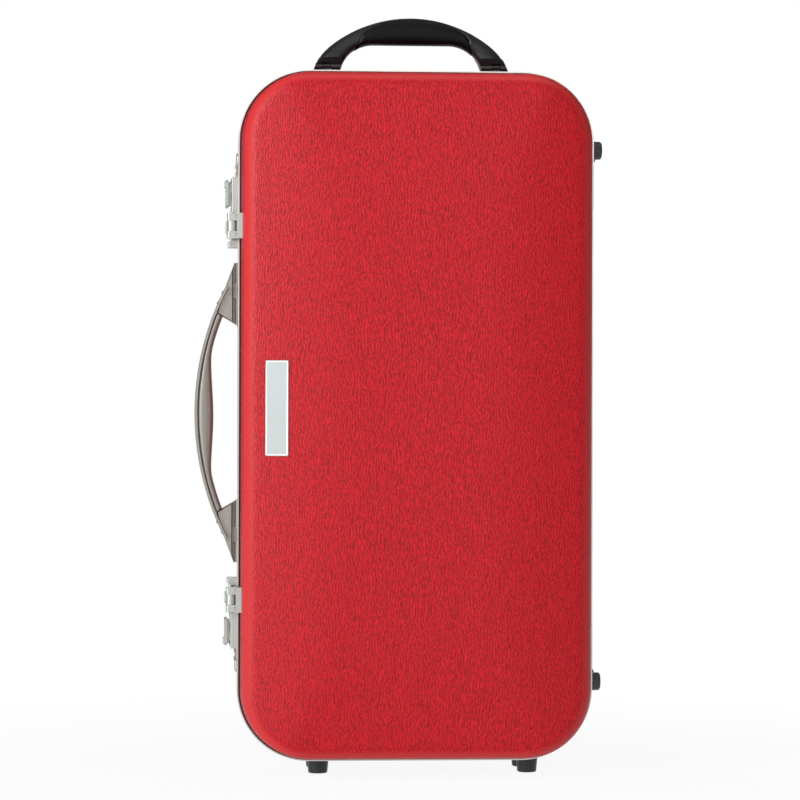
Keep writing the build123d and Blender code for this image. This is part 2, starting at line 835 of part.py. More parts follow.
def arch_face():
    """Side view of the top handle. Outside, a wide crown runs into two tighter bends and down the
    legs. Inside, a straight run for the fingers bends into two straight legs."""
    crest = top_pivot_z + top_crest_height
    low = top_pivot_z - 2 * top_heel_radius
    reach = top_crown_radius - top_outer_bend
    turn = math.asin(top_bend_out / reach)
    bend_z = crest - top_crown_radius + reach * math.cos(turn)
    inner_z = top_pivot_z + top_inner_height
    leg = top_inner_flat + top_inner_bend

    def outside(hand, angle):
        across = top_bend_out + top_outer_bend * math.sin(angle)
        return (hand * across, bend_z + top_outer_bend * math.cos(angle))

    def inside(hand, angle):
        across = top_inner_flat + top_inner_bend * math.sin(angle)
        return (hand * across, inner_z - top_inner_bend + top_inner_bend * math.cos(angle))

    last = math.acos((low - bend_z) / top_outer_bend)
    middle = (turn + last) / 2
    edges = [
        ThreePointArc(outside(-1, turn), (0, crest), outside(1, turn)),
        Line(inside(-1, 0), inside(1, 0)),
    ]
    for hand in (-1, 1):
        edges += [
            ThreePointArc(outside(hand, turn), outside(hand, middle), outside(hand, last)),
            Line(outside(hand, last), (hand * leg, low)),
            Line((hand * leg, low), inside(hand, math.pi / 2)),
            ThreePointArc(inside(hand, math.pi / 2), inside(hand, math.pi / 4), inside(hand, 0)),
        ]
    return make_face(Curve() + edges)


def top_arch():
    """The whole handle from leg to leg, with well rounded edges."""
    face = Pos(top_handle_x, top_handle_y, 0) * (Plane.XZ * arch_face())
    body = extrude(face, amount=top_grip_width / 2, both=True)
    edges = body.edges().group_by(Axis.Y)[0] + body.edges().group_by(Axis.Y)[-1]
    long_edges = edges.filter_by(lambda edge: (edge @ 0.5).Z > top_pivot_z - top_heel_radius * 2 + overrun)
    return fillet(long_edges, top_grip_round)


def top_grip(arch):
    low = top_pivot_z + top_ferrule_height
    return arch & block(-case_width, case_width, -case_width, case_width, low, low + case_width)


def top_leg_x(side):
    return top_handle_x + side * top_leg_spacing / 2


def top_ferrule(arch, side):
    """Moulded end of the top handle, forked over the ear of its mount."""
    x = top_leg_x(side)
    high = top_pivot_z + top_ferrule_height
    reach = top_ferrule_span
    low = top_pivot_z - top_heel_radius
    leg = arch & block(x - reach, x + reach, -case_width, case_width, low, high)
    heel = rod_x(top_heel_radius, x - reach, x + reach, top_handle_y, top_pivot_z)
    wide = top_heel_radius + math.tan(math.radians(top_flank_angle)) * (high - top_pivot_z)
    corners = [
        (top_handle_y - top_heel_radius, top_pivot_z),
        (top_handle_y + top_heel_radius, top_pivot_z),
        (top_handle_y + wide, high),
        (top_handle_y - wide, high),
    ]
    flank = make_face(Polyline(*corners, close=True))
    leg = leg & (heel + Pos(x, 0, 0) * extrude(Plane.YZ * flank, amount=reach, both=True))
    half = top_ear_thickness / 2 + top_ear_gap
    room = rod_x(top_ear_radius + top_ear_room, x - half, x + half, top_handle_y, top_pivot_z)
    front, back = top_handle_y - top_grip_width, top_handle_y + top_grip_width
    low = top_pivot_z - top_heel_radius - overrun
    room += block(x - half, x + half, front, back, low, top_pivot_z + top_fork_height)
    return leg - room - top_pin(side)


def top_pin(side):
    x = top_leg_x(side)
    return rod_x(top_pin_radius, x - top_pin_half_length, x + top_pin_half_length, top_handle_y, top_pivot_z)


def top_mount(side, base_solid):
    """Plate with one rounded ear, on the base's top wall."""
    x = top_leg_x(side)
    half_length, half_width = top_plate_length / 2, top_plate_width / 2
    front, back = top_handle_y - half_width, top_handle_y + half_width
    plate = block(x - half_length, x + half_length, front, back, top_plate_z - hardware_sink, top_plate_z)
    plate = fillet(plate.edges().filter_by(Axis.Z), top_plate_corner)
    half = top_ear_thickness / 2
    ear = rod_x(top_ear_radius, x - half, x + half, top_handle_y, top_pivot_z)
    front, back = top_handle_y - top_ear_root, top_handle_y + top_ear_root
    ear += block(x - half, x + half, front, back, top_plate_z - overrun, top_pivot_z)
    reach = half + overrun
    bore = rod_x(top_pin_radius + pin_clearance, x - reach, x + reach, top_handle_y, top_pivot_z)
    return plate + ear - bore - base_solid


def top_mount_screws():
    """Countersunk screws, flush with the mounts' plates."""
    screws = []
    middle = top_plate_z - top_screw_head_height / 2
    for side in (-1, 1):
        for step in (-top_screw_offset, top_screw_offset):
            x = top_leg_x(side) + step
            head = Cone(top_screw_radius, top_screw_head, top_screw_head_height)
            shank = rod_z(top_screw_radius, x, top_handle_y, top_plate_z - top_screw_length, middle)
            screws.append(Pos(x, top_handle_y, middle) * head + shank)
    return screws


def bottom_feet(base_solid):
    feet = []
    low = -bottom_reach
    high = -case_height / 2 + foot_sink
    for x in bottom_foot_xs:
        for y in foot_rows:
            cone = Pos(x, y, (low + high) / 2) * Cone(foot_tip_radius, foot_root_radius, high - low)
            cone = fillet(cone.edges().sort_by(Axis.Z)[0], bottom_foot_round)
            recess = rod_z(foot_screw_head + foot_recess_gap, x, y, low - overrun, low + foot_recess_depth)
            feet.append(cone - recess - base_solid)
    return feet


def bottom_foot_screws():
    """Screw heads inside the feet, shanks into the shell's core."""
    seat = -bottom_reach + foot_recess_depth
    screws = []
    for x in bottom_foot_xs:
        for y in foot_rows:
            end = wall - foot_screw_cover - wall_at(case_height / 2, y)
            head = rod_z(foot_screw_head, x, y, seat - foot_screw_head_height, seat)
            screws.append(head + rod_z(foot_screw_radius, x, y, seat, end))
    return screws


def side_feet(base_solid):
    feet = []
    low = case_width / 2 - foot_sink
    high = right_reach
    for z in (-side_foot_z, side_foot_z):
        for y in foot_rows:
            cone = Rot(0, 90, 0) * Cone(side_foot_root_radius, side_foot_tip_radius, high - low)
            cone = Pos((low + high) / 2, y, z) * cone
            cone = fillet(cone.edges().sort_by(Axis.X)[-1], side_foot_round)
            seat = high - foot_recess_depth
            recess = rod_x(foot_screw_head + foot_recess_gap, seat, high + overrun, y, z)
            feet.append(cone - recess - base_solid)
    return feet


def side_foot_screws():
    seat = right_reach - foot_recess_depth
    screws = []
    for z in (-side_foot_z, side_foot_z):
        for y in foot_rows:
            end = wall_at(case_width / 2, y) - wall + foot_screw_cover
            head = rod_x(foot_screw_head, seat, seat + foot_screw_head_height, y, z)
            screws.append(head + rod_x(foot_screw_radius, end, seat, y, z))
    return screws


def badge_plate():
    """Plain plate on the left slope of the lid's face, square to the bow there."""
    radius = ((case_width / 2 - lid_flat_half_width) ** 2 + lid_crown**2) / (2 * lid_crown)
    run = abs(badge_x) - lid_flat_half_width
    tilt = math.asin(run / radius)
    y = -(lid_depth + lid_crown - radius + math.sqrt(radius**2 - run**2))
    face = RectangleRounded(badge_width, badge_height, badge_corner)
    plate = extrude(Plane.XZ * face, amount=badge_thickness)
    plate = chamfer(plate.faces().sort_by(Axis.Y)[0].edges(), badge_bevel)
    return Pos(badge_x, y, badge_z) * Rot(0, 0, -math.degrees(tilt)) * plate


def pocket(bounds):
    """One recess of the tray: open to the front, with a rounded floor and a soft lip."""
    left, right, bottom, top = bounds
    shape = RectangleRounded(right - left, top - bottom, pocket_corner)
    hole = extrude(Plane.XZ * shape, amount=-pocket_depth)
    hole = fillet(hole.faces().sort_by(Axis.Y)[-1].edges(), pocket_floor_radius)
    return Pos((left + right) / 2, tray_face, (bottom + top) / 2) * hole


def tray():
    body = base_form(wall + lining_gap) - slab(-overrun, tray_face)
    for bounds in (
        boot_pocket,
        reed_pocket,
        wing_pocket,
        swab_pocket,
        long_pocket,
        bell_pocket,
        crook_pocket,
    ):
        body -= pocket(bounds)
    mouths = body.faces().sort_by(Axis.Y)[0].inner_wires()
    return chamfer([edge for mouth in mouths for edge in mouth.edges()], pocket_lip)


def lid_pad():
    """Padded lining that follows the inside of the lid and stops short of its rim."""
    outer = wall + lining_gap
    return lid_form(outer) - lid_form(outer + pad_thickness) - slab(-pad_rim, overrun)


def both(pieces):
    """The upper pieces and their mirrored lower copies."""
    return pieces + [lower(piece) for piece in pieces]


def handle_pair(shape):
    """The upper and lower copy of a side handle piece drawn about its middle."""
    return [Pos(0, 0, hardware_z) * shape, Pos(0, 0, hardware_z) * mirror(shape, Plane.XY)]


def main():
    lid_outer, lid_core_outer, lid_cavity = [lid_form(t) for t in (0, leather_thickness, wall)]
    base_outer, base_core_outer, base_cavity = [base_form(t) for t in (0, leather_thickness, wall)]
    lid_walls = lid_wall(lid_outer, lid_cavity)
    base_walls = base_wall(base_outer, base_cavity)

    lid_leaves, base_leaves = [], []
    for z in (-hinge_centre_z, hinge_centre_z):
        base_leaves.append(hinge_leaf(z, base_leaf_height, 1, range(0, hinge_knuckles, 2), base_outer))
        lid_leaves.append(hinge_leaf(z, lid_leaf_height, -1, range(1, hinge_knuckles, 2), lid_outer))
    hinge_pins = [
        rod_z(hinge_pin_radius, hinge_x, 0, z - hinge_length / 2, z + hinge_length / 2)
        for z in (-hinge_centre_z, hinge_centre_z)
    ]
    base_hinge_rivets = hinge_rivets(base_leaf_height, 1)
    lid_hinge_rivets = hinge_rivets(lid_leaf_height, -1)

    latch_base_rivets = both(housing_rivets())
    latch_lid_rivets = both(bracket_rivets())
    loop_rivets = both(strap_rivets())
    mount_screws = top_mount_screws()
    low_screws, right_screws = bottom_foot_screws(), side_foot_screws()
    base_fasteners = Part() + [
        *base_hinge_rivets, *latch_base_rivets, *loop_rivets, *mount_screws, *low_screws, *right_screws
    ]
    lid_fasteners = Part() + [*lid_hinge_rivets, *latch_lid_rivets]

    slot = hinge_slot(hinge_clearance)
    base_cut = base_fasteners + slot
    lid_cut = lid_fasteners + slot
    upper_housing = latch_housing(base_outer) - base_fasteners
    upper_bracket = latch_bracket(lid_outer) - lid_fasteners
    upper_strap = strap_plate(base_outer) - base_fasteners
    mounts = handle_pair(handle_mount(base_outer))

    band_space = handle_band_form(
        handle_band_half_length, handle_band_thickness, -handle_reach, 2 * handle_reach
    )
    band_rivets = handle_rivets()
    band_cut = Part() + band_rivets + [mirror(one, Plane.XY) for one in band_rivets]
    end = handle_end(band_space) - band_cut
    upper_end, lower_end = handle_pair(end)
    arch = top_arch()

    parts = {
        "base_shell": base_wall(base_core_outer, base_cavity) - base_cut,
        "base_leather": base_wall(base_outer, base_core_outer) - base_cut,
        "base_valance": base_valance(base_walls) - base_fasteners,
        "base_tray": tray(),
        "base_hinge_leaves": Compound([leaf - base_fasteners for leaf in base_leaves]),
        "base_hinge_rivets": Compound(base_hinge_rivets),
        "hinge_pins": Compound(hinge_pins),
        "upper_latch_housing": upper_housing,
        "lower_latch_housing": lower(upper_housing),
        "upper_latch_spring": latch_spring(),
        "lower_latch_spring": lower(latch_spring()),
        "latch_housing_rivets": Compound(latch_base_rivets),
        "upper_strap_plate": upper_strap,
        "lower_strap_plate": lower(upper_strap),
        "strap_plate_rivets": Compound(loop_rivets),
        "side_handle_upper_mount": mounts[0],
        "side_handle_lower_mount": mounts[1],
        "top_handle_left_mount": top_mount(-1, base_outer) - base_fasteners,
        "top_handle_right_mount": top_mount(1, base_outer) - base_fasteners,
        "top_mount_screws": Compound(mount_screws),
        "bottom_feet": Compound([foot - base_fasteners for foot in bottom_feet(base_outer)]),
        "bottom_foot_screws": Compound(low_screws),
        "side_feet": Compound([foot - base_fasteners for foot in side_feet(base_outer)]),
        "side_foot_screws": Compound(right_screws),
        "lid_shell": lid_wall(lid_core_outer, lid_cavity) - lid_cut,
        "lid_leather": lid_wall(lid_outer, lid_core_outer) - lid_cut,
        "lid_valance": lid_valance(lid_walls) - lid_fasteners,
        "lid_pad": lid_pad(),
        "lid_hinge_leaves": Compound([leaf - lid_fasteners for leaf in lid_leaves]),
        "lid_hinge_rivets": Compound(lid_hinge_rivets),
        "badge_plate": badge_plate(),
        "upper_latch_bracket": upper_bracket,
        "lower_latch_bracket": lower(upper_bracket),
        "hasp_pins": Compound(both([hasp_pin()])),
        "latch_bracket_rivets": Compound(latch_lid_rivets),
        "upper_hasp": hasp(),
        "lower_hasp": lower(hasp()),
        "upper_latch_slide": latch_slide(),
        "lower_latch_slide": lower(latch_slide()),
        "upper_strap_loop": strap_loop(),
        "lower_strap_loop": lower(strap_loop()),
        "side_handle_upper_end": upper_end,
        "side_handle_lower_end": lower_end,
        "side_handle_pins": Compound(handle_pair(handle_pin())),
        "side_handle_band": Pos(0, 0, hardware_z) * (handle_band() - band_cut),
        "side_handle_grip": Pos(0, 0, hardware_z) * handle_grip(),
        "side_handle_rivets": Compound([piece for one in band_rivets for piece in handle_pair(one)]),
        "top_handle_grip": top_grip(arch),
        "top_handle_left_end": top_ferrule(arch, -1),
        "top_handle_right_end": top_ferrule(arch, 1),
        "top_handle_pins": Compound([top_pin(-1), top_pin(1)]),
    }
    os.makedirs("parts", exist_ok=True)
    for name, shape in parts.items():
        export_step(PLACE * shape, f"parts/{name}.step")


main()
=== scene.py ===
import math

import bpy
import numpy as np
from mathutils import Matrix, Vector


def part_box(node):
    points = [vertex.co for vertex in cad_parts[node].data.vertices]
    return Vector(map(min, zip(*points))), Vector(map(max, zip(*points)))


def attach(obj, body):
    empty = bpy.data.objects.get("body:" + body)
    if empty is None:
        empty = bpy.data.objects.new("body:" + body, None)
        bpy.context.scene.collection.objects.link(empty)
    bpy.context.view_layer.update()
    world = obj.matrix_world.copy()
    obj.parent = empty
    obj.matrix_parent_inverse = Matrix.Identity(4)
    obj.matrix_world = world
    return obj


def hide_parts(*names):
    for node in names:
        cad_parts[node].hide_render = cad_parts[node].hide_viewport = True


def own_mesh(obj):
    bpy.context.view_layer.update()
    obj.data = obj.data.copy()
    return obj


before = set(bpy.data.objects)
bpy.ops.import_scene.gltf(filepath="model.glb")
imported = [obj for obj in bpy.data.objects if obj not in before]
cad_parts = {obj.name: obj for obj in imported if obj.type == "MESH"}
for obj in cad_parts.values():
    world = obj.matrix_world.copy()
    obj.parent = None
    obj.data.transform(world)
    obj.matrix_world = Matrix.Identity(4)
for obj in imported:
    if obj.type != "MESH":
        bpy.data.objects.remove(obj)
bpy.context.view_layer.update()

# Sizes are in millimetres unless a heading says otherwise, about the middle of the seam plane, as the
# case's maker would draw it: X across, Y from the lid at the front to the base at the back, Z up.
MM = 0.001
rim_low, rim_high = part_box("lid_valance")
SEAM = np.array([(rim_low.x + rim_high.x) / 2, rim_high.y, (rim_low.z + rim_high.z) / 2])

# Shells
CASE_HALF_WIDTH = 169.0
CASE_HALF_HEIGHT = 329.0
CORNER = 67.0
WALL = 4.4
LEATHER = 0.8
RIM_START = 2.6
CREASE_SOFTNESS = 0.45
END_BOW_STEP = 0.3
LID = {
    "direction": -1, "depth": 40.0, "crown": 15.7, "flat_x": 50.0, "flat_z": 180.0, "end_drop": 6.9,
    "edge": 13.0, "draft": math.tan(math.radians(4.5)), "shade_bead_depth": 7.15,
}
BASE = {
    "direction": 1, "depth": 88.0, "crown": 8.0, "flat_x": 70.0, "flat_z": 200.0, "end_drop": 3.4,
    "edge": 15.0, "draft": math.tan(math.radians(2.0)), "shade_bead_depth": 10.15,
}

# Beads of painted shade where the leather enters the valances
SHADE_BEAD_RADIUS = 0.75
SHADE_BEAD_OUT = 0.1

# Lid lining
LINING_GAP = 0.3
LINING_THICKNESS = 6.0
LINING_RIM = 9.0
CHANNEL_PITCH = 54.0
CHANNEL_WIDTH = 2.2
CHANNEL_DEPTH = 1.1
CHANNEL_FROM = 24.0
CHANNEL_FULL = 34.0

# Tray
TRAY_GAP = 0.6
TRAY_FACE = 12.0
TRAY_BACK_SHORT = 16.0
TRAY_BACK_GAP = 10.0
TRAY_LEAST_WALL = 2.0
TRAY_COLUMNS = 170
TRAY_ROWS = 250
POCKET_DEPTH = 62.0
POCKET_CORNER = 10.0
POCKET_WALL = (0.5, 3.5)
DISH_DEPTH = 9.0
DISH_START = 2.5
DISH_REACH = 12.0
LIP_ROLL = 1.6
LIP_WIDTH = 3.0

# Left, right, bottom and top of each pocket in the tray
POCKETS = (
    (-154.0, -64.0, -272.0, 178.0),
    (-154.0, -64.0, 192.0, 272.0),
    (-54.0, 12.0, -300.0, 220.0),
    (-54.0, 12.0, 234.0, 304.0),
    (22.0, 78.0, -312.0, 312.0),
    (88.0, 154.0, -272.0, 92.0),
    (88.0, 154.0, 106.0, 272.0),
)

# Top handle
GRIP_X = -2.8
GRIP_Y = 40.0
GRIP_CREST = 387.2
GRIP_CROWN = 125.3
GRIP_OUTER_BEND = 51.3
GRIP_BEND_OUT = 46.0
GRIP_INNER = 360.3
GRIP_INNER_FLAT = 36.5
GRIP_INNER_BEND = 33.0
GRIP_FOOT = 347.0
GRIP_HALF_WIDTH = 13.0
GRIP_HALF_LENGTH = 84.0
GRIP_MEAN_RADIUS = 12.5
GRIP_SQUARENESS = 0.8
NECK_PLACE = 66.0
NECK_REACH = 18.0
NECK_WAIST = 1.2
COVER_INSET = 0.35
COVER_SIDE_INSET = 0.5

# Sewn edge of the top handle's cover: lengths in millimetres, angles in degrees
SEWN_START_LEFT = 12.0
SEWN_START_RIGHT = 20.0
SEWN_RUN = 54.0
SEWN_MOST = 1.1
SEWN_FROM = 30.0
SEWN_CLIMB = 122.0
SEWN_END = (74.0, 80.0)
GROOVE_DEPTH = 1.1
GROOVE_WIDTH = 0.7
PAD_PROUD = 0.6
PAD_ROUND = 2.4
COVER_SUNK = 0.3
COVER_ROUND = 5.0
PUCKER_DEPTH = 0.12
PUCKER_RADIANS_PER_MM = 1.35
PUCKER_PLACE = 2.2
PUCKER_WIDTH = 1.6

# Side handle
HANDLE_Y = 28.0
HANDLE_Z = 2.3
BOW_CENTRE = 53.0
BOW_RADIUS = 262.0
HANDLE_THICKNESS = 6.6
HANDLE_HALF_WIDTH = 9.0
OUTER_HALF_LENGTH = 95.9
INNER_HALF_LENGTH = 92.5
BELLY_X = -196.3
BELLY_RISE = 2.6
BELLY_Z = -4.0
BELLY_REACH = 38.0
BELLY_SOFTNESS = 0.8
WIDEST_SHARE = 0.38
BACK_TAPER = 0.22
FINGER_POWER = 2.3

# Badge
BADGE_FACE = np.array([-134.72, -49.03, 6.9])
BADGE_TILT = math.radians(10.61)
BADGE_HALF = (10.0, 44.1)
BADGE_CORNER = 0.9
EDGE_HALF_WIDTH = 0.65
EDGE_HEIGHT = 0.3

# Latch springs
SPRING_WALL = 0.35
SPRING_FOLDS = 6
FOLD_STEPS = 16

# Points closer than this are welded
WELD_REACH = 0.02

# Leather grain: the noises that lean, break and roughen its strokes. A rate is against how often the
# strokes come, upright is how often a noise changes along z against across, a reach is in radians of
# the strokes' phase, and the last is how much rougher the valleys are.
LEAN_RATE = 0.1
LEAN_UPRIGHT = 2.2
LEAN_REACH = 14.0
BREAK_RATE = 0.95
BREAK_UPRIGHT = 0.5
BREAK_REACH = 8.5
FINE_RATE = 2.2
FINE_WARP = 0.4
FINE_FROM = 0.36
FINE_TO = 0.64
STROKE_SHARE = 0.52
VALLEY_DULLNESS = 0.12

# How squarely the leather faces front or back: its grain is full up to the first, flat from the second
# to the third and full again past the fourth. Flat grain keeps a share of its height about a level.
EDGE_FACING = (0.2, 0.45, 0.78, 0.955)
FLAT_LEVEL = 0.62
FLAT_SHARE = 0.2

# Painted sheen on the leather's rolled edges and painted shade next to the valances: the most of each
# colour, and the distances off the seam over which the painted shade fades out
EDGE_SHEEN_SHARE = 0.4
VALANCE_SHADE_SHARE = 0.8
VALANCE_SHADE_FROM = 7.0
VALANCE_SHADE_TO = 22.0

# Slow patches in the finish of metal, of moulded parts and of brushed nap, and tufts of pile, which are
# too fine to show and are drawn coarser
METAL_PATCH = 28.57
MOULD_PATCH = 16.67
NAP_PATCH = 45.45
PILE_TUFT = 0.7143
PILE_HEIGHT = 0.5
SCRATCH_DEPTH = 0.06
MOULD_WEAR = 0.05

# Studio, in metres and watts
FLOOR_SIZE = 20.0
SHADOW_NEAR = 0.25
SHADOW_FAR = 0.9
SHADOW_GLOW = 0.92
SURROUND_STRENGTH = 0.17
LIGHT_AIM = Vector((0.0, -0.02, 0.36))
LAMPS = (
    ("left_softbox", (-2.65, -2.4, 1.2), (1.3, 2.2), 109.0),
    ("front_fill", (0.2, -3.9, 1.4), (2.4, 2.4), 29.0),
    ("top_light", (0.2, -0.6, 2.6), (1.8, 1.2), 12.0),
    ("back_fill", (0.8, 3.6, 1.3), (2.4, 2.4), 38.0),
)

# Camera: its aim in millimetres, its distance and reach in metres, its angles in degrees
CAMERA_AIM = np.array([-14.95, 0.0, 14.95])
CAMERA_DISTANCE = 3.0
CAMERA_REACH = 50.0
CAMERA_YAW = 4.0
CAMERA_ROLL = 0.18
FOCAL_PIXELS = 3120
IMAGE_PIXELS = 800
SENSOR_WIDTH = 36.0


# Helpers

def linear(hex_colour):
    """sRGB hex value as linear RGBA."""
    parts = [int(hex_colour[i:i + 2], 16) / 255 for i in (0, 2, 4)]
    return tuple(p / 12.92 if p <= 0.04045 else ((p + 0.055) / 1.055) ** 2.4 for p in parts) + (1.0,)


def place(points):
    """Seam-frame millimetres as row-frame metres."""
    return points * MM + SEAM


def mesh_piece(name, points, faces, material, body):
    """A mesh object from an array of points and a list of faces, riding on a body."""
    mesh = bpy.data.meshes.new(name)
    mesh.from_pydata(place(points.reshape(-1, 3)).tolist(), [], faces)
    mesh.validate()
    mesh.shade_smooth()
    piece = bpy.data.objects.new(name, mesh)
    bpy.context.scene.collection.objects.link(piece)
    mesh.materials.append(material)
    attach(piece, body)
    return piece


def grid_faces(rows, columns, closed=True, start=0):
    """Quads between neighbouring rows of a grid whose rows are closed loops or open runs."""
    last = columns if closed else columns - 1
    row = np.arange(rows - 1)[:, None] * columns + start
    one = np.arange(last)[None, :]
    two = (one + 1) % columns
    quads = np.stack([row + one, row + two, row + columns + two, row + columns + one], axis=-1)
    return quads.reshape(-1, 4).tolist()


def turned(faces):
    """The same faces seen from their other side."""
    return [face[::-1] for face in faces]


def end_caps(rows, columns):
    """One flat face over each end of a run of closed rings."""
    last = (rows - 1) * columns
    return [list(range(columns))[::-1], list(range(last, last + columns))]


def weld(piece):
    """Welds the points that meet where a surface closes on itself."""
    joint = piece.modifiers.new("weld", "WELD")
    joint.merge_threshold = WELD_REACH * MM


def smoothstep(value, low, high):
    """Rises from 0 at low to 1 at high as 3t^2 - 2t^3."""
    t = np.clip((value - low) / (high - low), 0, 1)
    return t * t * (3 - 2 * t)


# Materials

def add(tree, kind, inputs=None, stops=(), **settings):
    """Adds a node with its settings. Inputs gives a value or a (node, output) pair for each socket,
    and stops gives the position and colour of each element of a colour ramp."""
    node = tree.nodes.new(kind)
    for key, value in settings.items():
        setattr(node, key, value)
    if stops:
        elements = node.color_ramp.elements
        while len(elements) < len(stops):
            elements.new(0.5)
        for element, (position, colour) in zip(elements, stops):
            element.position = position
            element.color = colour
    for key, value in (inputs or {}).items():
        if isinstance(value, tuple) and isinstance(value[0], bpy.types.Node):
            tree.links.new(value[0].outputs[value[1]], node.inputs[key])
        else:
            node.inputs[key].default_value = value
    return node


def new_material(name):
    """A material and its node tree, still empty."""
    material = bpy.data.materials.new(name)
    material.use_nodes = True
    material.node_tree.nodes.clear()
    return material, material.node_tree


def grey(level):
    """A linear grey."""
    return (level, level, level, 1.0)


def per_metre(size):
    """How often a pattern of this size in millimetres repeats in a metre."""
    return 1000.0 / size


def leather_height(tree, here, parts, spread, grain, stretch):
    """Height of a plated grain of short upright strokes: the sine of a phase that grows along |x| + y
    by one turn every grain, plus a slow noise that leans the strokes and a quick one that breaks them.
    A finer noise, stretch times as tall as wide, roughens them. The height h is drawn towards a level
    L as L + spread (h - L)."""
    often = per_metre(grain)
    slow = add(
        tree, "ShaderNodeMapping", {"Vector": (here, "Object"), "Scale": (1.0, 1.0, LEAN_UPRIGHT)}
    )
    lean = add(
        tree, "ShaderNodeTexNoise", {"Vector": (slow, 0), "Scale": often * LEAN_RATE, "Detail": 0.0}
    )
    quick = add(
        tree, "ShaderNodeMapping", {"Vector": (here, "Object"), "Scale": (1.0, 1.0, BREAK_UPRIGHT)}
    )
    shift = add(
        tree, "ShaderNodeTexNoise", {"Vector": (quick, 0), "Scale": often * BREAK_RATE, "Detail": 0.0}
    )
    phase = add(tree, "ShaderNodeMath", {0: (parts, "X")}, operation="ABSOLUTE")
    phase = add(tree, "ShaderNodeMath", {0: (phase, 0), 1: (parts, "Y")}, operation="ADD")
    phase = add(tree, "ShaderNodeMath", {0: (phase, 0), 1: 2 * math.pi * often}, operation="MULTIPLY")
    for noise, reach in ((lean, LEAN_REACH), (shift, BREAK_REACH)):
        phase = add(
            tree, "ShaderNodeMath", {0: (noise, "Fac"), 1: reach, 2: (phase, 0)},
            operation="MULTIPLY_ADD",
        )
    strokes = add(tree, "ShaderNodeMath", {0: (phase, 0)}, operation="SINE")
    strokes = add(tree, "ShaderNodeMath", {0: (strokes, 0), 1: 0.5, 2: 0.5}, operation="MULTIPLY_ADD")

    tall = add(
        tree, "ShaderNodeMapping", {"Vector": (here, "Object"), "Scale": (1.0, 1.0, 1.0 / stretch)}
    )
    fine = add(
        tree, "ShaderNodeTexNoise",
        {"Vector": (tall, 0), "Scale": often * FINE_RATE, "Detail": 0.0, "Distortion": FINE_WARP},
    )
    fine = add(
        tree, "ShaderNodeValToRGB", {"Fac": (fine, "Fac")},
        stops=((FINE_FROM, grey(0.0)), (FINE_TO, grey(1.0))),
    )
    height = add(tree, "ShaderNodeMath", {0: (strokes, 0), 1: STROKE_SHARE}, operation="MULTIPLY")
    height = add(
        tree, "ShaderNodeMath", {0: (fine, 0), 1: 1.0 - STROKE_SHARE, 2: (height, 0)},
        operation="MULTIPLY_ADD",
    )
    height = add(tree, "ShaderNodeMath", {0: (height, 0), 1: FLAT_LEVEL}, operation="SUBTRACT")
    height = add(
        tree, "ShaderNodeMath", {0: (height, 0), 1: (spread, 0), 2: FLAT_LEVEL},
        operation="MULTIPLY_ADD",
    )
    return height


def grained_leather(name, high, low, grain, stretch, depth, roughness, gloss, sheen_and_shade=()):
    """Finished leather whose valleys are darker and duller, with the grain drawn flat where it turns
    over an edge. Its last argument gives two colours: painted sheen draws the edges towards the first,
    and painted shade darkens the leather towards the second near the valances."""
    material, tree = new_material(name)
    here = add(tree, "ShaderNodeTexCoord")
    parts = add(tree, "ShaderNodeSeparateXYZ", {"Vector": (here, "Object")})
    facing = add(tree, "ShaderNodeSeparateXYZ", {"Vector": (here, "Normal")})
    facing = add(tree, "ShaderNodeMath", {0: (facing, "Y")}, operation="ABSOLUTE")
    kept = [grey(share) for share in (1.0, FLAT_SHARE, FLAT_SHARE, 1.0)]
    spread = add(tree, "ShaderNodeValToRGB", {"Fac": (facing, 0)}, stops=list(zip(EDGE_FACING, kept)))
    height = leather_height(tree, here, parts, spread, grain, stretch)
    colour = add(
        tree, "ShaderNodeValToRGB", {"Fac": (height, 0)}, stops=((0.2, linear(low)), (0.8, linear(high)))
    )
    colour = (colour, 0)
    if sheen_and_shade:
        # Painted sheen: the leather is drawn pinker where it turns over an edge
        edge_sheen = add(
            tree, "ShaderNodeMath", {0: (spread, 0), 1: -EDGE_SHEEN_SHARE, 2: EDGE_SHEEN_SHARE},
            operation="MULTIPLY_ADD",
        )
        # Painted shade: the leather darkens near the valances and fades out further off the seam
        off_seam = add(
            tree, "ShaderNodeMath", {0: (parts, "Y"), 1: float(SEAM[1])}, operation="SUBTRACT"
        )
        off_seam = add(tree, "ShaderNodeMath", {0: (off_seam, 0)}, operation="ABSOLUTE")
        valance_shade = add(
            tree, "ShaderNodeMapRange",
            {
                "Value": (off_seam, 0), "From Min": VALANCE_SHADE_FROM * MM, "From Max": VALANCE_SHADE_TO * MM,
                "To Min": VALANCE_SHADE_SHARE, "To Max": 0.0,
            },
            interpolation_type="SMOOTHSTEP",
        )
        for share, tint in zip((edge_sheen, valance_shade), sheen_and_shade):
            mixed = add(
                tree, "ShaderNodeMix", {"Factor": (share, 0), 6: colour, 7: linear(tint)},
                data_type="RGBA",
            )
            colour = (mixed, 2)
    dull = add(
        tree, "ShaderNodeMapRange",
        {
            "Value": (height, 0), "From Min": 0.1, "From Max": 1.0,
            "To Min": roughness + VALLEY_DULLNESS, "To Max": roughness,
        },
    )
    bump = add(tree, "ShaderNodeBump", {"Height": (height, 0), "Strength": 1.0, "Distance": depth * MM})
    shader = add(
        tree, "ShaderNodeBsdfPrincipled",
        {"Base Color": colour, "Roughness": (dull, 0), "Normal": (bump, 0), "Specular IOR Level": gloss},
    )
    add(tree, "ShaderNodeOutputMaterial", {"Surface": (shader, 0)})
    return material


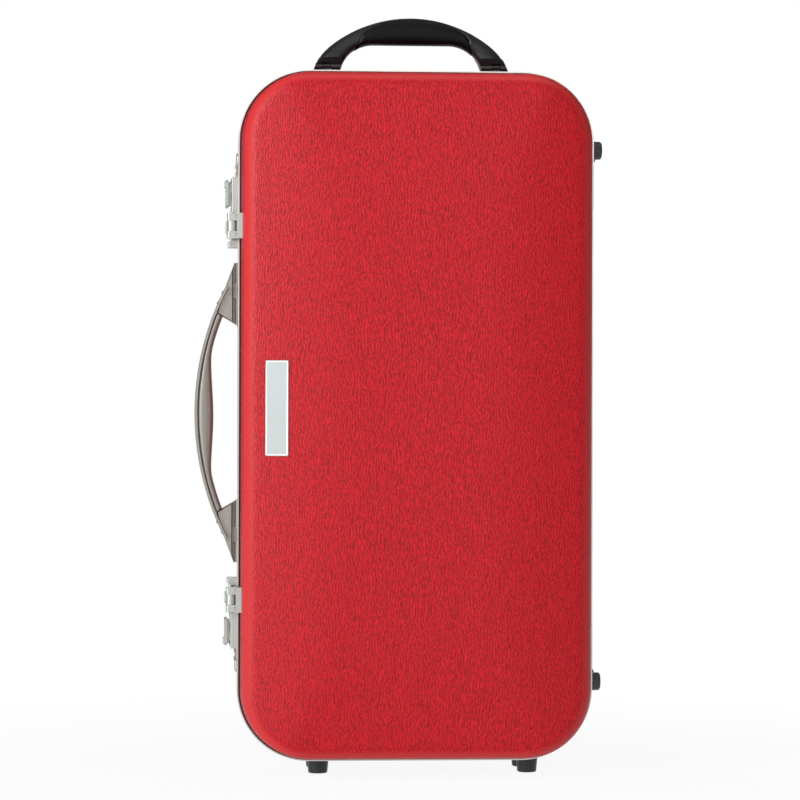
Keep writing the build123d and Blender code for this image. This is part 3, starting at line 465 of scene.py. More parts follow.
def metal(name, colour, roughness, grain=(2.5, 2.5, 2.5), wear=0.04, scratch=0.0, bare=1.0):
    """Metal whose roughness varies with slow patches and with lines of this grain, in millimetres along
    x, y and z. Scratch presses the lines in, and a share of bare under 1 is a metallic lacquer."""
    material, tree = new_material(name)
    here = add(tree, "ShaderNodeTexCoord")
    scale = tuple(per_metre(size) for size in grain)
    along = add(tree, "ShaderNodeMapping", {"Vector": (here, "Object"), "Scale": scale})
    lines = add(tree, "ShaderNodeTexNoise", {"Vector": (along, 0), "Scale": 1.0, "Detail": 4.0})
    patches = add(
        tree, "ShaderNodeTexNoise",
        {"Vector": (here, "Object"), "Scale": per_metre(METAL_PATCH), "Detail": 3.0},
    )
    both = add(tree, "ShaderNodeMath", {0: (lines, "Fac"), 1: (patches, "Fac")}, operation="ADD")
    rough = add(
        tree, "ShaderNodeMapRange",
        {
            "Value": (both, 0), "From Min": 0.6, "From Max": 1.4, "To Min": roughness - wear,
            "To Max": roughness + wear,
        },
    )
    inputs = {"Base Color": linear(colour), "Metallic": bare, "Roughness": (rough, 0)}
    if scratch:
        bump = add(
            tree, "ShaderNodeBump",
            {"Height": (lines, "Fac"), "Strength": scratch, "Distance": SCRATCH_DEPTH * MM},
        )
        inputs["Normal"] = (bump, 0)
    shader = add(tree, "ShaderNodeBsdfPrincipled", inputs)
    add(tree, "ShaderNodeOutputMaterial", {"Surface": (shader, 0)})
    return material


def moulded(name, colour, roughness, grain=0.6, depth=0.03, coat=0.0):
    """Moulded rubber or plastic with the texture of its tool, its grain and depth in millimetres."""
    material, tree = new_material(name)
    here = add(tree, "ShaderNodeTexCoord")
    texture = add(
        tree, "ShaderNodeTexNoise",
        {"Vector": (here, "Object"), "Scale": per_metre(grain), "Detail": 2.0},
    )
    patches = add(
        tree, "ShaderNodeTexNoise",
        {"Vector": (here, "Object"), "Scale": per_metre(MOULD_PATCH), "Detail": 3.0},
    )
    rough = add(
        tree, "ShaderNodeMapRange",
        {
            "Value": (patches, "Fac"), "From Min": 0.3, "From Max": 0.7,
            "To Min": roughness - MOULD_WEAR, "To Max": roughness + MOULD_WEAR,
        },
    )
    bump = add(
        tree, "ShaderNodeBump", {"Height": (texture, "Fac"), "Strength": 0.5, "Distance": depth * MM}
    )
    shader = add(
        tree, "ShaderNodeBsdfPrincipled",
        {"Base Color": linear(colour), "Roughness": (rough, 0), "Normal": (bump, 0), "Coat Weight": coat},
    )
    add(tree, "ShaderNodeOutputMaterial", {"Surface": (shader, 0)})
    return material


def velvet(name, high, low, sheen):
    """Short cut pile: a deep colour whose nap catches light at a slant, brushed in uneven patches."""
    material, tree = new_material(name)
    here = add(tree, "ShaderNodeTexCoord")
    nap = add(
        tree, "ShaderNodeTexNoise",
        {"Vector": (here, "Object"), "Scale": per_metre(NAP_PATCH), "Detail": 4.0, "Distortion": 1.2},
    )
    pile = add(
        tree, "ShaderNodeTexNoise",
        {"Vector": (here, "Object"), "Scale": per_metre(PILE_TUFT), "Detail": 2.0},
    )
    tone = add(
        tree, "ShaderNodeMath", {0: (pile, "Fac"), 1: 0.35, 2: (nap, "Fac")}, operation="MULTIPLY_ADD"
    )
    colour = add(
        tree, "ShaderNodeValToRGB", {"Fac": (tone, 0)},
        stops=((0.45, linear(low)), (0.95, linear(high))),
    )
    bump = add(
        tree, "ShaderNodeBump", {"Height": (pile, "Fac"), "Strength": 0.6, "Distance": PILE_HEIGHT * MM}
    )
    shader = add(
        tree, "ShaderNodeBsdfPrincipled",
        {
            "Base Color": (colour, 0), "Roughness": 0.9, "Normal": (bump, 0), "Sheen Weight": 0.9,
            "Sheen Roughness": 0.35, "Sheen Tint": linear(sheen),
        },
    )
    add(tree, "ShaderNodeOutputMaterial", {"Surface": (shader, 0)})
    return material


# Drummed cowhide, plated with a pebble grain and pigmented red: soft gloss, broad highlights. Its
# strokes are drawn at their real distance, about 3 mm.
# Its rolled edges carry a painted sheen, DE504C, and painted shade darkens it towards 2A0508 next to the
# valances.
RED_LEATHER = grained_leather(
    "pebble_grained_red_leather", "CE1021", "960613", grain=2.9, stretch=1.9, depth=0.16,
    roughness=0.42, gloss=0.30, sheen_and_shade=("DE504C", "2A0508"),
)
# Smooth black calf over padding: finer grain and more gloss. Its pores are too fine to show, so they
# are drawn 1.1 mm apart.
BLACK_LEATHER = grained_leather(
    "smooth_black_calf", "1E1E22", "131316", grain=1.1, stretch=1.2, depth=0.05, roughness=0.36, gloss=0.4
)
# The same leather left matt where it lies over the handle's inner pad
PAD_LEATHER = grained_leather(
    "matt_black_calf", "08080A", "040405", grain=1.1, stretch=1.2, depth=0.05, roughness=0.45, gloss=0.18
)
# Aluminium channel with a clear anodised skin, drawn lengthwise: even, pale, softly bright. Real drawing
# and brushing lines are too fine to show, so here and on the badge they are coarser.
VALANCE = metal(
    "anodised_aluminium_channel", "CFC6C0", 0.30, grain=(16.67, 1.111, 16.67), wear=0.03, scratch=0.25
)
# Die-cast zinc, barrelled and nickel plated: bright with a slight haze
BRIGHT_NICKEL = metal("nickel_plated_zinc", "BBBEBA", 0.54)
# The same casting under a satin nickel: greyer, broader highlights
SATIN_NICKEL = metal("satin_nickel_zinc", "A19E98", 0.46, wear=0.05)
# Satin metallic lacquer on the handle's grip: a soft grey sheen
GRIP_LACQUER = metal("satin_lacquered_grip", "8B8882", 0.44, bare=0.25)
# Turned and stamped steel with a zinc passivate: cool, even, fairly bright
PLAIN_STEEL = metal("zinc_passivated_steel", "B9BABC", 0.33)
# Rolled aluminium plate brushed along its length and anodised: a fine lengthwise sheen
BADGE = metal(
    "brushed_anodised_plate", "B9BFBF", 0.42, grain=(0.6667, 0.6667, 25.0), wear=0.03, scratch=0.35
)
# Its raised edge, drawn near white as a painted highlight: a thin white line of light
BADGE_EDGE_HIGHLIGHT = metal("badge_edge_painted_highlight", "FAFCFC", 0.4, wear=0.03, bare=0.3)
# Moulded thermoplastic rubber: nearly black with a dull sheen. The texture of a mould or a coat is too
# fine to show, so on this and the next materials it is drawn coarser.
RUBBER = moulded("black_thermoplastic_rubber", "17171A", 0.42, grain=0.8, depth=0.02)
# The same rubber on the side feet, painted a lighter grey for the light they catch, and duller
SIDE_FOOT_LIT_RUBBER = moulded("side_foot_rubber_painted_light", "3A3A3D", 0.5, grain=0.8, depth=0.02)
# Black stove enamel on the top handle's mounts, pins and screws: smooth, satin black
BLACK_LACQUER = moulded("black_enamelled_steel", "141416", 0.34, grain=0.9, depth=0.01)
# Moulded nylon of the top handle's ends: black under a thin gloss
BLACK_NYLON = moulded("moulded_black_nylon", "151517", 0.36, grain=0.7, depth=0.02, coat=0.2)
# Pressed ABS core of the shells: dull brown-black
CORE = moulded("pressed_abs_core", "1B1918", 0.6)
# Painted shade where the leather meets the valances, drawn as a bead: nearly black with a touch of red
PAINTED_SHADE_BEAD = moulded("painted_shade_bead_near_black", "1A0C0D", 0.5, grain=0.8, depth=0.01)
# Wine-red cut velvet over foam: deep colour, pale bloom at a slant
VELVET = velvet("wine_red_velvet", "711322", "4E0915", "E08A92")


# Shells

def rounded_outline(inset):
    """Points round the case's outline, inset from the leather's edge at the seam: straight sides and
    quarter circles of radius CORNER - inset, the same number of points for every inset."""
    long_points, short_points, corner_points = 40, 20, 18
    radius = CORNER - inset
    centre_x = CASE_HALF_WIDTH - CORNER
    centre_z = CASE_HALF_HEIGHT - CORNER
    xs, zs = [], []
    corners = ((1, 1, 0.0), (-1, 1, 90.0), (-1, -1, 180.0), (1, -1, 270.0))
    for index, (sx, sz, start) in enumerate(corners):
        angle = np.radians(start + np.linspace(0, 90, corner_points, endpoint=False))
        xs.append(sx * centre_x + radius * np.cos(angle))
        zs.append(sz * centre_z + radius * np.sin(angle))
        count = short_points if index % 2 == 0 else long_points
        t = np.linspace(0, 1, count, endpoint=False)
        end = math.radians(start + 90)
        nx, nz, _ = corners[(index + 1) % len(corners)]
        x0, z0 = sx * centre_x + radius * math.cos(end), sz * centre_z + radius * math.sin(end)
        x1, z1 = nx * centre_x + radius * math.cos(end), nz * centre_z + radius * math.sin(end)
        xs.append(x0 + (x1 - x0) * t)
        zs.append(z0 + (z1 - z0) * t)
    return np.concatenate(xs), np.concatenate(zs)


def outline_normals():
    """Outward normals of the case's outline at its points: away from the nearest point of the
    rectangle through the corners' centres."""
    x, z = rounded_outline(0.0)
    centre_x = CASE_HALF_WIDTH - CORNER
    centre_z = CASE_HALF_HEIGHT - CORNER
    dx = x - np.clip(x, -centre_x, centre_x)
    dz = z - np.clip(z, -centre_z, centre_z)
    length = np.hypot(dx, dz)
    return dx / length, dz / length


def bow(distance, flat, drop, half):
    """How far an arc that is level up to flat and down by drop at half lies under its crest:
    R - sqrt(R^2 - d^2) at a distance d past flat."""
    radius = ((half - flat) ** 2 + drop**2) / (2 * drop)
    run = np.clip(np.abs(distance) - flat, 0, None)
    return radius - np.sqrt(np.maximum(radius**2 - run**2, 0))


def face_height(x, z, form, inset=0.0):
    """Depth of a shell's face: the lower of a bow across and a bow along that starts END_BOW_STEP under
    it, joined by a soft minimum, -k log(exp(-a/k) + exp(-b/k)), so that they meet in gentle creases
    towards the corners, and raised by half of what that takes off at a crease."""
    crest = form["depth"] + form["crown"] - inset
    across = crest - bow(x, form["flat_x"], form["crown"], CASE_HALF_WIDTH)
    along = crest - END_BOW_STEP - bow(z, form["flat_z"], form["end_drop"], CASE_HALF_HEIGHT)
    k = CREASE_SOFTNESS
    return k * math.log(2.0) / 2 - k * np.logaddexp(-across / k, -along / k)


def shell_points(form, inset, rim, face_rings=46, edge_rings=9, wall_rings=7):
    """Rings from the rim up the drafted wall, over the rounded edge, and in to the middle line. On the
    edge the inset grows as R(1 - cos a) while the depth stays R(1 - sin a) under the face."""
    radius = form["edge"] - inset
    base_x, base_z = rounded_outline(inset)
    top = face_height(base_x, base_z, form, inset) - radius
    normal_x, normal_z = outline_normals()
    rings = []
    for t in np.linspace(0, 1, wall_rings, endpoint=False):
        depth = rim + (top - rim) * t
        pull = depth * form["draft"]
        rings.append((base_x - normal_x * pull, depth, base_z - normal_z * pull))
    for angle in np.linspace(0, math.pi / 2, edge_rings):
        pull = top * form["draft"] + radius * (1 - math.cos(angle))
        x, z = base_x - normal_x * pull, base_z - normal_z * pull
        rings.append((x, face_height(x, z, form, inset) - radius * (1 - math.sin(angle)), z))
    x, _, z = rings[-1]
    middle = CASE_HALF_HEIGHT - CASE_HALF_WIDTH
    core_z = np.clip(z, -middle, middle)
    for t in np.linspace(0, 1, face_rings + 1)[1:]:
        x_now, z_now = x * (1 - t), z + (core_z - z) * t
        rings.append((x_now, face_height(x_now, z_now, form, inset), z_now))
    return np.stack([np.stack([x, form["direction"] * depth, z], axis=-1) for x, depth, z in rings])


def leather_skin(name, form, body):
    """Leather drawn over a shell, as a skin with a wall of its own thickness."""
    points = shell_points(form, 0.0, RIM_START)
    faces = grid_faces(*points.shape[:2])
    if form["direction"] > 0:
        faces = turned(faces)
    piece = mesh_piece(name, points, faces, RED_LEATHER, body)
    weld(piece)
    wall = piece.modifiers.new("skin", "SOLIDIFY")
    wall.thickness = LEATHER * MM
    wall.offset = -1.0
    return piece


lid_skin = leather_skin("lid_leather_skin", LID, "lid")
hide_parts("lid_leather")
base_skin = leather_skin("base_leather_skin", BASE, "base")
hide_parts("base_leather")


# Lining

def lid_lining():
    """Velvet over foam inside the lid: an outer face that follows the shell, an inner one that lies
    the lining's thickness further in, and a rim between them. Quilting presses a line into the inner
    face every CHANNEL_PITCH, as exp(-(d/w)^2) of the distance d from it, and fades out down the
    walls."""
    gap = WALL + LINING_GAP
    outer = shell_points(LID, gap, LINING_RIM, face_rings=30, edge_rings=7, wall_rings=5)
    inner = shell_points(
        LID, gap + LINING_THICKNESS, LINING_RIM, face_rings=60, edge_rings=5, wall_rings=5
    )
    half = CHANNEL_PITCH / 2
    off_line = np.mod(inner[..., 0] + half, CHANNEL_PITCH) - half
    channel = CHANNEL_DEPTH * np.exp(-(off_line / CHANNEL_WIDTH) ** 2)
    inner[..., 1] -= channel * smoothstep(-inner[..., 1], CHANNEL_FROM, CHANNEL_FULL)
    start = outer[..., 0].size
    outer_faces = grid_faces(*outer.shape[:2])
    inner_faces = turned(grid_faces(*inner.shape[:2], start=start))
    columns = outer.shape[1]
    one = np.arange(columns)
    two = (one + 1) % columns
    rim = np.stack([start + one, start + two, two, one], axis=-1).tolist()
    points = np.concatenate([outer.reshape(-1, 3), inner.reshape(-1, 3)])
    faces = outer_faces + inner_faces + rim
    piece = mesh_piece("lid_velvet_lining", points, faces, VELVET, "lid")
    weld(piece)
    return piece


def pocket_depth(x, z):
    """Depth of the pockets: for each, a rounded rectangle's distance field d, and a wall that falls
    steeply inside d < 0 to a floor dished as a quarter ellipse. The face rolls down to the pocket's
    edge as exp(-(d/w)^2)."""
    depth = np.zeros_like(x)
    lip = np.zeros_like(x)
    for left, right, bottom, top in POCKETS:
        dx = np.abs(x - (left + right) / 2) - (right - left) / 2 + POCKET_CORNER
        dz = np.abs(z - (bottom + top) / 2) - (top - bottom) / 2 + POCKET_CORNER
        beyond = np.hypot(np.maximum(dx, 0), np.maximum(dz, 0))
        away = beyond + np.minimum(np.maximum(dx, dz), 0) - POCKET_CORNER
        inside = np.clip(-away, 0, None)
        fall = smoothstep(inside, *POCKET_WALL) * (POCKET_DEPTH - DISH_DEPTH)
        across = np.clip((inside - DISH_START) / DISH_REACH, 0, 1)
        dish = DISH_DEPTH * np.sqrt(np.clip(1 - (1 - across) ** 2, 0, 1))
        depth = np.maximum(depth, fall + dish * (inside > DISH_START))
        lip = np.maximum(lip, LIP_ROLL * np.exp(-(away / LIP_WIDTH) ** 2) * (away > -DISH_START))
    return depth + lip


def tray_lining():
    """Velvet-covered tray: a height field over the case's outline with soft lips round each pocket.
    Grid points past the outline are drawn onto it, and a skirt closes the form against a back that
    follows the base and is narrower by the draft of its wall, TRAY_BACK_SHORT short of its depth."""
    gap = WALL + TRAY_GAP
    half_x = CASE_HALF_WIDTH - gap - TRAY_FACE * BASE["draft"]
    half_z = CASE_HALF_HEIGHT - gap - TRAY_FACE * BASE["draft"]
    x, z = np.meshgrid(
        np.linspace(-half_x, half_x, TRAY_COLUMNS), np.linspace(-half_z, half_z, TRAY_ROWS)
    )
    corner = CORNER - gap
    dx = np.clip(np.abs(x) - (half_x - corner), 0, None)
    dz = np.clip(np.abs(z) - (half_z - corner), 0, None)
    reach = np.maximum(np.hypot(dx, dz), corner)
    x = np.sign(x) * (np.minimum(np.abs(x), half_x - corner) + dx * corner / reach)
    z = np.sign(z) * (np.minimum(np.abs(z), half_z - corner) + dz * corner / reach)
    front = TRAY_FACE + pocket_depth(x, z)
    shrink = 1 - (BASE["depth"] - TRAY_BACK_SHORT) * BASE["draft"] / half_x
    back = face_height(x * shrink, z * shrink, BASE, gap) - TRAY_BACK_GAP
    back = np.maximum(back, front + TRAY_LEAST_WALL)
    points = np.stack([
        np.stack([x, front, z], axis=-1), np.stack([x * shrink, back, z * shrink], axis=-1),
    ])
    rows, columns = x.shape
    under = rows * columns
    faces = grid_faces(rows, columns, closed=False)
    faces_back = turned(grid_faces(rows, columns, closed=False, start=under))
    edge = np.concatenate([
        np.arange(columns), np.arange(1, rows) * columns + columns - 1,
        (rows - 1) * columns + np.arange(columns - 2, -1, -1), np.arange(rows - 2, 0, -1) * columns,
    ])
    after = np.roll(edge, -1)
    skirt = np.stack([after, edge, edge + under, after + under], axis=-1).tolist()
    piece = mesh_piece("tray_velvet", points, faces + faces_back + skirt, VELVET, "base")
    weld(piece)
    return piece


lining = lid_lining()
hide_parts("lid_pad")
tray = tray_lining()
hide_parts("base_tray")


# Beads of painted shade where the leather enters the valances

def shade_bead(name, form, body):
    """Painted shade where the leather enters the valance: a nearly black bead of radius SHADE_BEAD_RADIUS
    along the outline.
    Round its section the offset from the outline grows as cos a and the depth as sin a."""
    around = 11
    outline_x, outline_z = rounded_outline(0.0)
    normal_x, normal_z = outline_normals()
    angle = np.linspace(0, 2 * math.pi, around)[:, None]
    offset = SHADE_BEAD_OUT + SHADE_BEAD_RADIUS * np.cos(angle)
    depth = form["shade_bead_depth"] + SHADE_BEAD_RADIUS * np.sin(angle)
    x, z = outline_x + normal_x * offset, outline_z + normal_z * offset
    points = np.stack([x, np.broadcast_to(form["direction"] * depth, x.shape), z], axis=-1)
    faces = grid_faces(*points.shape[:2])
    if form["direction"] > 0:
        faces = turned(faces)
    bead = mesh_piece(name, points, faces, PAINTED_SHADE_BEAD, body)
    weld(bead)


# Painted shade: a dark bead along each valance
shade_bead("lid_shade_bead", LID, "lid")
shade_bead("base_shade_bead", BASE, "base")


# Top handle

def grip_contours(share):
    """Points of the handle's outer and inner contours at a signed share of their length from the
    middle to the end. The outer is a wide arc that runs into a tighter one, the inner a straight run
    that bends down."""
    side, share = np.sign(share), np.abs(share)
    reach = GRIP_CROWN - GRIP_OUTER_BEND
    turn = math.asin(GRIP_BEND_OUT / reach)
    centre = GRIP_CREST - GRIP_CROWN
    bend_z = centre + reach * math.cos(turn)
    last = math.acos((GRIP_FOOT - bend_z) / GRIP_OUTER_BEND)
    crown_run = GRIP_CROWN * turn
    run = share * (crown_run + GRIP_OUTER_BEND * (last - turn))
    on_crown = run <= crown_run
    angle = np.where(on_crown, run / GRIP_CROWN, turn + (run - crown_run) / GRIP_OUTER_BEND)
    radius = np.where(on_crown, GRIP_CROWN, GRIP_OUTER_BEND)
    outer = np.stack([
        side * (np.where(on_crown, 0.0, GRIP_BEND_OUT) + radius * np.sin(angle)),
        np.where(on_crown, centre, bend_z) + radius * np.cos(angle),
    ], axis=-1)
    inner_centre = GRIP_INNER - GRIP_INNER_BEND
    inner_last = math.acos((GRIP_FOOT - inner_centre) / GRIP_INNER_BEND)
    run = share * (GRIP_INNER_FLAT + GRIP_INNER_BEND * inner_last)
    angle = np.clip(run - GRIP_INNER_FLAT, 0, None) / GRIP_INNER_BEND
    inner = np.stack([
        side * (np.minimum(run, GRIP_INNER_FLAT) + GRIP_INNER_BEND * np.sin(angle)),
        inner_centre + GRIP_INNER_BEND * np.cos(angle),
    ], axis=-1)
    return outer, inner


def top_grip():
    """Padded leather grip. Each section spans from the outer to the inner contour as a rounded oblong,
    cos and sin raised to a power under 1. The cover's sewn edge runs from the inner side of each neck
    up to the crest: s is the length from the crest, a the angle from the outer side, and the edge lies
    at a = SEWN_FROM + SEWN_CLIMB c^2, where c is how far s is along the edge's run. It is a groove,
    exp(-(d/w)^2) deep at a distance d from it, with the inner pad standing a little proud of the cover
    and small gathers beside it."""
    sections, around = 241, 168
    share = np.linspace(-1, 1, sections)
    outer, inner = grip_contours(share)
    middle = (outer + inner) / 2
    half = (outer - inner) / 2
    thick = np.linalg.norm(half, axis=-1)
    turn = np.linspace(0, 2 * math.pi, around, endpoint=False)
    s, a = np.meshgrid(share * GRIP_HALF_LENGTH, turn, indexing="ij")
    radial = np.sign(np.cos(a)) * np.abs(np.cos(a)) ** GRIP_SQUARENESS
    waist = NECK_WAIST * np.exp(-((np.abs(s) - NECK_PLACE) / NECK_REACH) ** 2)
    width = GRIP_HALF_WIDTH - COVER_SIDE_INSET - waist
    across = width * np.sign(np.sin(a)) * np.abs(np.sin(a)) ** GRIP_SQUARENESS
    from_top = np.abs((a + math.pi) % (2 * math.pi) - math.pi)
    late = np.where(s < 0, SEWN_START_LEFT, SEWN_START_RIGHT)
    climb = np.clip((np.abs(s) - late) / SEWN_RUN, 0.0, SEWN_MOST)
    gap = (from_top - np.radians(SEWN_FROM + SEWN_CLIMB * climb**2)) * GRIP_MEAN_RADIUS
    groove = -GROOVE_DEPTH * np.exp(-(gap / GROOVE_WIDTH) ** 2)
    proud = PAD_PROUD * smoothstep(gap, 0.0, PAD_ROUND) - COVER_SUNK * smoothstep(-gap, 0.0, COVER_ROUND)
    gathers = np.sin(s * PUCKER_RADIANS_PER_MM) * np.exp(-((gap - PUCKER_PLACE) / PUCKER_WIDTH) ** 2)
    ends = 1 - smoothstep(np.abs(s), *SEWN_END)
    grow = (groove + proud + PUCKER_DEPTH * gathers) * ends - COVER_INSET
    swell = 1 + grow / np.hypot(radial * thick[:, None], across)
    points = np.stack([
        GRIP_X + middle[:, :1] + half[:, :1] * radial * swell,
        GRIP_Y - across * swell,
        middle[:, 1:] + half[:, 1:] * radial * swell,
    ], axis=-1)
    body = grid_faces(sections, around)
    faces = body + end_caps(sections, around)
    piece = mesh_piece("top_grip_cover", points, faces, BLACK_LEATHER, "top_handle")
    piece.data.materials.append(PAD_LEATHER)
    on_pad = np.zeros(len(piece.data.polygons), dtype=np.int32)
    on_pad[:len(body)] = (gap[:-1] > 0).ravel()
    piece.data.polygons.foreach_set("material_index", on_pad)
    return piece


grip = top_grip()
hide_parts("top_handle_grip")


# Side handle

def side_grip():
    """Lacquered grip of the side handle. Each section spans from the band's inner arc to the fingers'
    side, which is the further in of a parallel arc and a shallow belly, joined by a soft maximum. At a
    share u of that span the half width is 1 - t v^2 of its most before the widest place, v being how
    far before it u lies, and (1 - v^p)^(1/p) past it, v being how far past. Here t is BACK_TAPER and p
    is FINGER_POWER."""
    sections, half_round = 121, 28
    share = np.linspace(-1, 1, sections)
    outer_z, inner_z = share * OUTER_HALF_LENGTH, share * INNER_HALF_LENGTH
    outer = BOW_CENTRE - np.sqrt(BOW_RADIUS**2 - outer_z**2)
    arc = BOW_CENTRE - np.sqrt((BOW_RADIUS - HANDLE_THICKNESS) ** 2 - inner_z**2)
    belly = BELLY_X + BELLY_RISE * np.exp(-((inner_z - BELLY_Z) / BELLY_REACH) ** 2)
    inner = BELLY_SOFTNESS * np.logaddexp(arc / BELLY_SOFTNESS, belly / BELLY_SOFTNESS)
    u = (1 - np.cos(np.linspace(0, math.pi, half_round))) / 2
    before = np.clip((WIDEST_SHARE - u) / WIDEST_SHARE, 0, None)
    past = np.clip((u - WIDEST_SHARE) / (1 - WIDEST_SHARE), 0, 1)
    finger_side = (1 - past**FINGER_POWER) ** (1 / FINGER_POWER)
    wide = HANDLE_HALF_WIDTH * (1 - BACK_TAPER * before**2) * finger_side
    u = np.concatenate([u, u[-2::-1]])
    y = np.concatenate([-wide, wide[-2::-1]]) + HANDLE_Y
    x = outer[:, None] + (inner - outer)[:, None] * u
    z = outer_z[:, None] + (inner_z - outer_z)[:, None] * u + HANDLE_Z
    points = np.stack([x, np.broadcast_to(y, x.shape), z], axis=-1)
    faces = grid_faces(*x.shape) + end_caps(*x.shape)
    piece = mesh_piece(
        "side_handle_lacquered_grip", points, faces, GRIP_LACQUER, "side_handle"
    )
    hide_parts("side_handle_grip")


side_grip()


# Badge

def badge_edge():
    """Raised edge of the plate on the lid, near white as a painted highlight: a bead along a rounded
    rectangle on the plate's face, its section an ellipse half sunk in it. The face is tilted from
    straight ahead by BADGE_TILT."""
    corner_points, around = 7, 13
    quarter = np.linspace(0, 90, corner_points)
    turn = np.radians(np.concatenate([start + quarter for start in (0, 90, 180, 270)]))
    across = np.repeat([1, -1, -1, 1], corner_points) * (BADGE_HALF[0] - BADGE_CORNER)
    up = np.repeat([1, 1, -1, -1], corner_points) * (BADGE_HALF[1] - BADGE_CORNER)
    angle = np.linspace(0, -2 * math.pi, around)[:, None]
    radius = BADGE_CORNER + EDGE_HALF_WIDTH * np.cos(angle)
    u, v = across + radius * np.cos(turn), up + radius * np.sin(turn)
    high = EDGE_HEIGHT * np.sin(angle)
    x = u * math.cos(BADGE_TILT) - high * math.sin(BADGE_TILT)
    y = -u * math.sin(BADGE_TILT) - high * math.cos(BADGE_TILT)
    points = np.stack([x, y, v], axis=-1) + BADGE_FACE
    faces = grid_faces(*points.shape[:2])
    edge = mesh_piece("badge_raised_edge", points, faces, BADGE_EDGE_HIGHLIGHT, "lid")
    weld(edge)


badge_edge()


# Latch springs

def strip_spring(node):
    """Folded strip spring in the space of its CAD node, along z: a strip of SPRING_WALL whose middle
    line swings across x as the cosine of half a turn for every fold. It shortens towards its fixed
    end as the bolt moves."""
    low, high = [(np.array(corner) - SEAM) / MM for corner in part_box(node)]
    turn = np.linspace(0, SPRING_FOLDS * math.pi, FOLD_STEPS * SPRING_FOLDS + 1)
    swing = (high[0] - low[0] - SPRING_WALL) / 2
    length = high[2] - low[2]
    middle = np.stack([(low[0] + high[0]) / 2 + swing * np.cos(turn), low[2] + length * turn / turn[-1]])
    along = np.stack([-swing * np.sin(turn), np.full_like(turn, length / turn[-1])])
    aside = np.stack([along[1], -along[0]]) / np.hypot(*along) * SPRING_WALL / 2
    one_side, other_side = middle + aside, middle - aside
    section = ((one_side, low[1]), (one_side, high[1]), (other_side, high[1]), (other_side, low[1]))
    points = np.stack(
        [np.stack([x, np.full_like(x, y), z], axis=-1) for (x, z), y in section], axis=1
    )
    faces = grid_faces(*points.shape[:2]) + end_caps(*points.shape[:2])
    name = node.replace("spring", "strip_spring")
    piece = mesh_piece(name, points, faces, PLAIN_STEEL, "base")
    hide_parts(node)
    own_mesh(piece)


strip_spring("upper_latch_spring")
strip_spring("lower_latch_spring")


# Finishes of the CAD pieces

FINISHES = {
    CORE: ("base_shell", "lid_shell"),
    VALANCE: ("base_valance", "lid_valance"),
    BRIGHT_NICKEL: (
        "upper_latch_housing", "lower_latch_housing", "upper_hasp", "lower_hasp", "upper_latch_slide",
        "lower_latch_slide", "upper_latch_bracket", "lower_latch_bracket", "upper_strap_plate",
        "lower_strap_plate", "upper_strap_loop", "lower_strap_loop", "hasp_pins", "latch_housing_rivets",
        "latch_bracket_rivets", "strap_plate_rivets",
    ),
    SATIN_NICKEL: (
        "side_handle_upper_end", "side_handle_lower_end", "side_handle_band", "side_handle_rivets",
        "side_handle_upper_mount", "side_handle_lower_mount",
    ),
    PLAIN_STEEL: (
        "base_hinge_leaves", "lid_hinge_leaves", "base_hinge_rivets", "lid_hinge_rivets", "hinge_pins",
        "side_handle_pins", "bottom_foot_screws", "side_foot_screws",
    ),
    BLACK_LACQUER: (
        "top_handle_left_mount", "top_handle_right_mount", "top_handle_pins", "top_mount_screws",
    ),
    RUBBER: ("bottom_feet",),
    # Side feet: a lighter copy of the feet's rubber, as painted light
    SIDE_FOOT_LIT_RUBBER: ("side_feet",),
    BLACK_NYLON: ("top_handle_left_end", "top_handle_right_end"),
    BADGE: ("badge_plate",),
}
for material, names in FINISHES.items():
    for name in names:
        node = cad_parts[name]
        node.data.materials.clear()
        node.data.materials.append(material)


# Studio

def stage_material(name, colour):
    """Pale paper that keeps the shadow near its middle and is plain white further out: the share of
    glow that the camera and reflections see grows from SHADOW_GLOW at SHADOW_NEAR to 1 at
    SHADOW_FAR."""
    material, tree = new_material(name)
    here = add(tree, "ShaderNodeTexCoord")
    away = add(tree, "ShaderNodeVectorMath", {0: (here, "Object")}, operation="LENGTH")
    share = add(
        tree, "ShaderNodeMapRange",
        {
            "Value": (away, "Value"), "From Min": SHADOW_NEAR, "From Max": SHADOW_FAR,
            "To Min": SHADOW_GLOW, "To Max": 1.0,
        },
        interpolation_type="SMOOTHSTEP",
    )
    paths = add(tree, "ShaderNodeLightPath")
    direct = add(
        tree, "ShaderNodeMath", {0: (paths, "Is Camera Ray"), 1: (paths, "Is Glossy Ray")},
        operation="MAXIMUM",
    )
    share = add(tree, "ShaderNodeMath", {0: (direct, 0), 1: (share, 0)}, operation="MULTIPLY")
    paper = add(tree, "ShaderNodeBsdfDiffuse", {"Color": linear(colour)})
    glow = add(tree, "ShaderNodeEmission", {"Color": grey(1.0), "Strength": 1.0})
    mixed = add(tree, "ShaderNodeMixShader", {0: (share, 0), 1: (paper, 0), 2: (glow, 0)})
    add(tree, "ShaderNodeOutputMaterial", {"Surface": (mixed, 0)})
    return material


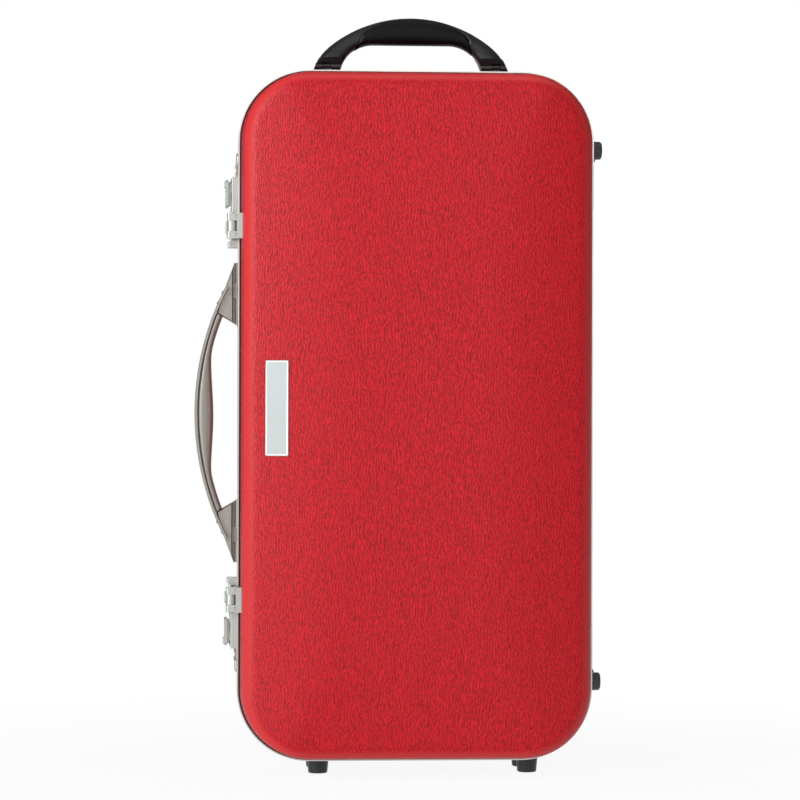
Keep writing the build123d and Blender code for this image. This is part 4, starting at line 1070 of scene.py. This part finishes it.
def studio():
    """Floor, even surroundings, a large soft light from the left and three weaker ones."""
    bpy.ops.mesh.primitive_plane_add(size=FLOOR_SIZE, location=(0, 0, 0))
    floor = bpy.context.object
    floor.name = "studio_floor"
    floor.data.materials.append(stage_material("white_paper_floor", "F4F3F1"))

    world = bpy.data.worlds.new("studio_surroundings")
    bpy.context.scene.world = world
    world.use_nodes = True
    tree = world.node_tree
    tree.nodes.clear()
    paths = add(tree, "ShaderNodeLightPath")
    soft = add(tree, "ShaderNodeBackground", {"Color": grey(1.0), "Strength": SURROUND_STRENGTH})
    white = add(tree, "ShaderNodeBackground", {"Color": grey(1.0), "Strength": 1.0})
    mixed = add(tree, "ShaderNodeMixShader", {0: (paths, "Is Camera Ray"), 1: (soft, 0), 2: (white, 0)})
    add(tree, "ShaderNodeOutputWorld", {"Surface": (mixed, 0)})

    for name, spot, size, power in LAMPS:
        lamp = bpy.data.lights.new(name, "AREA")
        lamp.shape = "RECTANGLE"
        lamp.size, lamp.size_y = size
        lamp.energy = power
        holder = bpy.data.objects.new(name, lamp)
        bpy.context.scene.collection.objects.link(holder)
        holder.location = spot
        holder.rotation_euler = (LIGHT_AIM - Vector(spot)).to_track_quat("-Z", "Y").to_euler()


def camera():
    """Long lens about level with the middle of the case, a little to the left of its front."""
    yaw = math.radians(CAMERA_YAW)
    target = Vector(place(CAMERA_AIM).tolist())
    away = Vector((math.sin(yaw), math.cos(yaw), 0.0))
    data = bpy.data.cameras.new("camera")
    data.sensor_width = SENSOR_WIDTH
    data.lens = FOCAL_PIXELS / IMAGE_PIXELS * SENSOR_WIDTH
    data.clip_end = CAMERA_REACH
    holder = bpy.data.objects.new("camera", data)
    bpy.context.scene.collection.objects.link(holder)
    spot = Matrix.Translation(target - away * CAMERA_DISTANCE)
    turn = away.to_track_quat("-Z", "Y").to_matrix().to_4x4()
    holder.matrix_world = spot @ turn @ Matrix.Rotation(math.radians(CAMERA_ROLL), 4, "Z")
    bpy.context.scene.camera = holder


studio()
camera()
bpy.context.scene.view_settings.view_transform = "Standard"
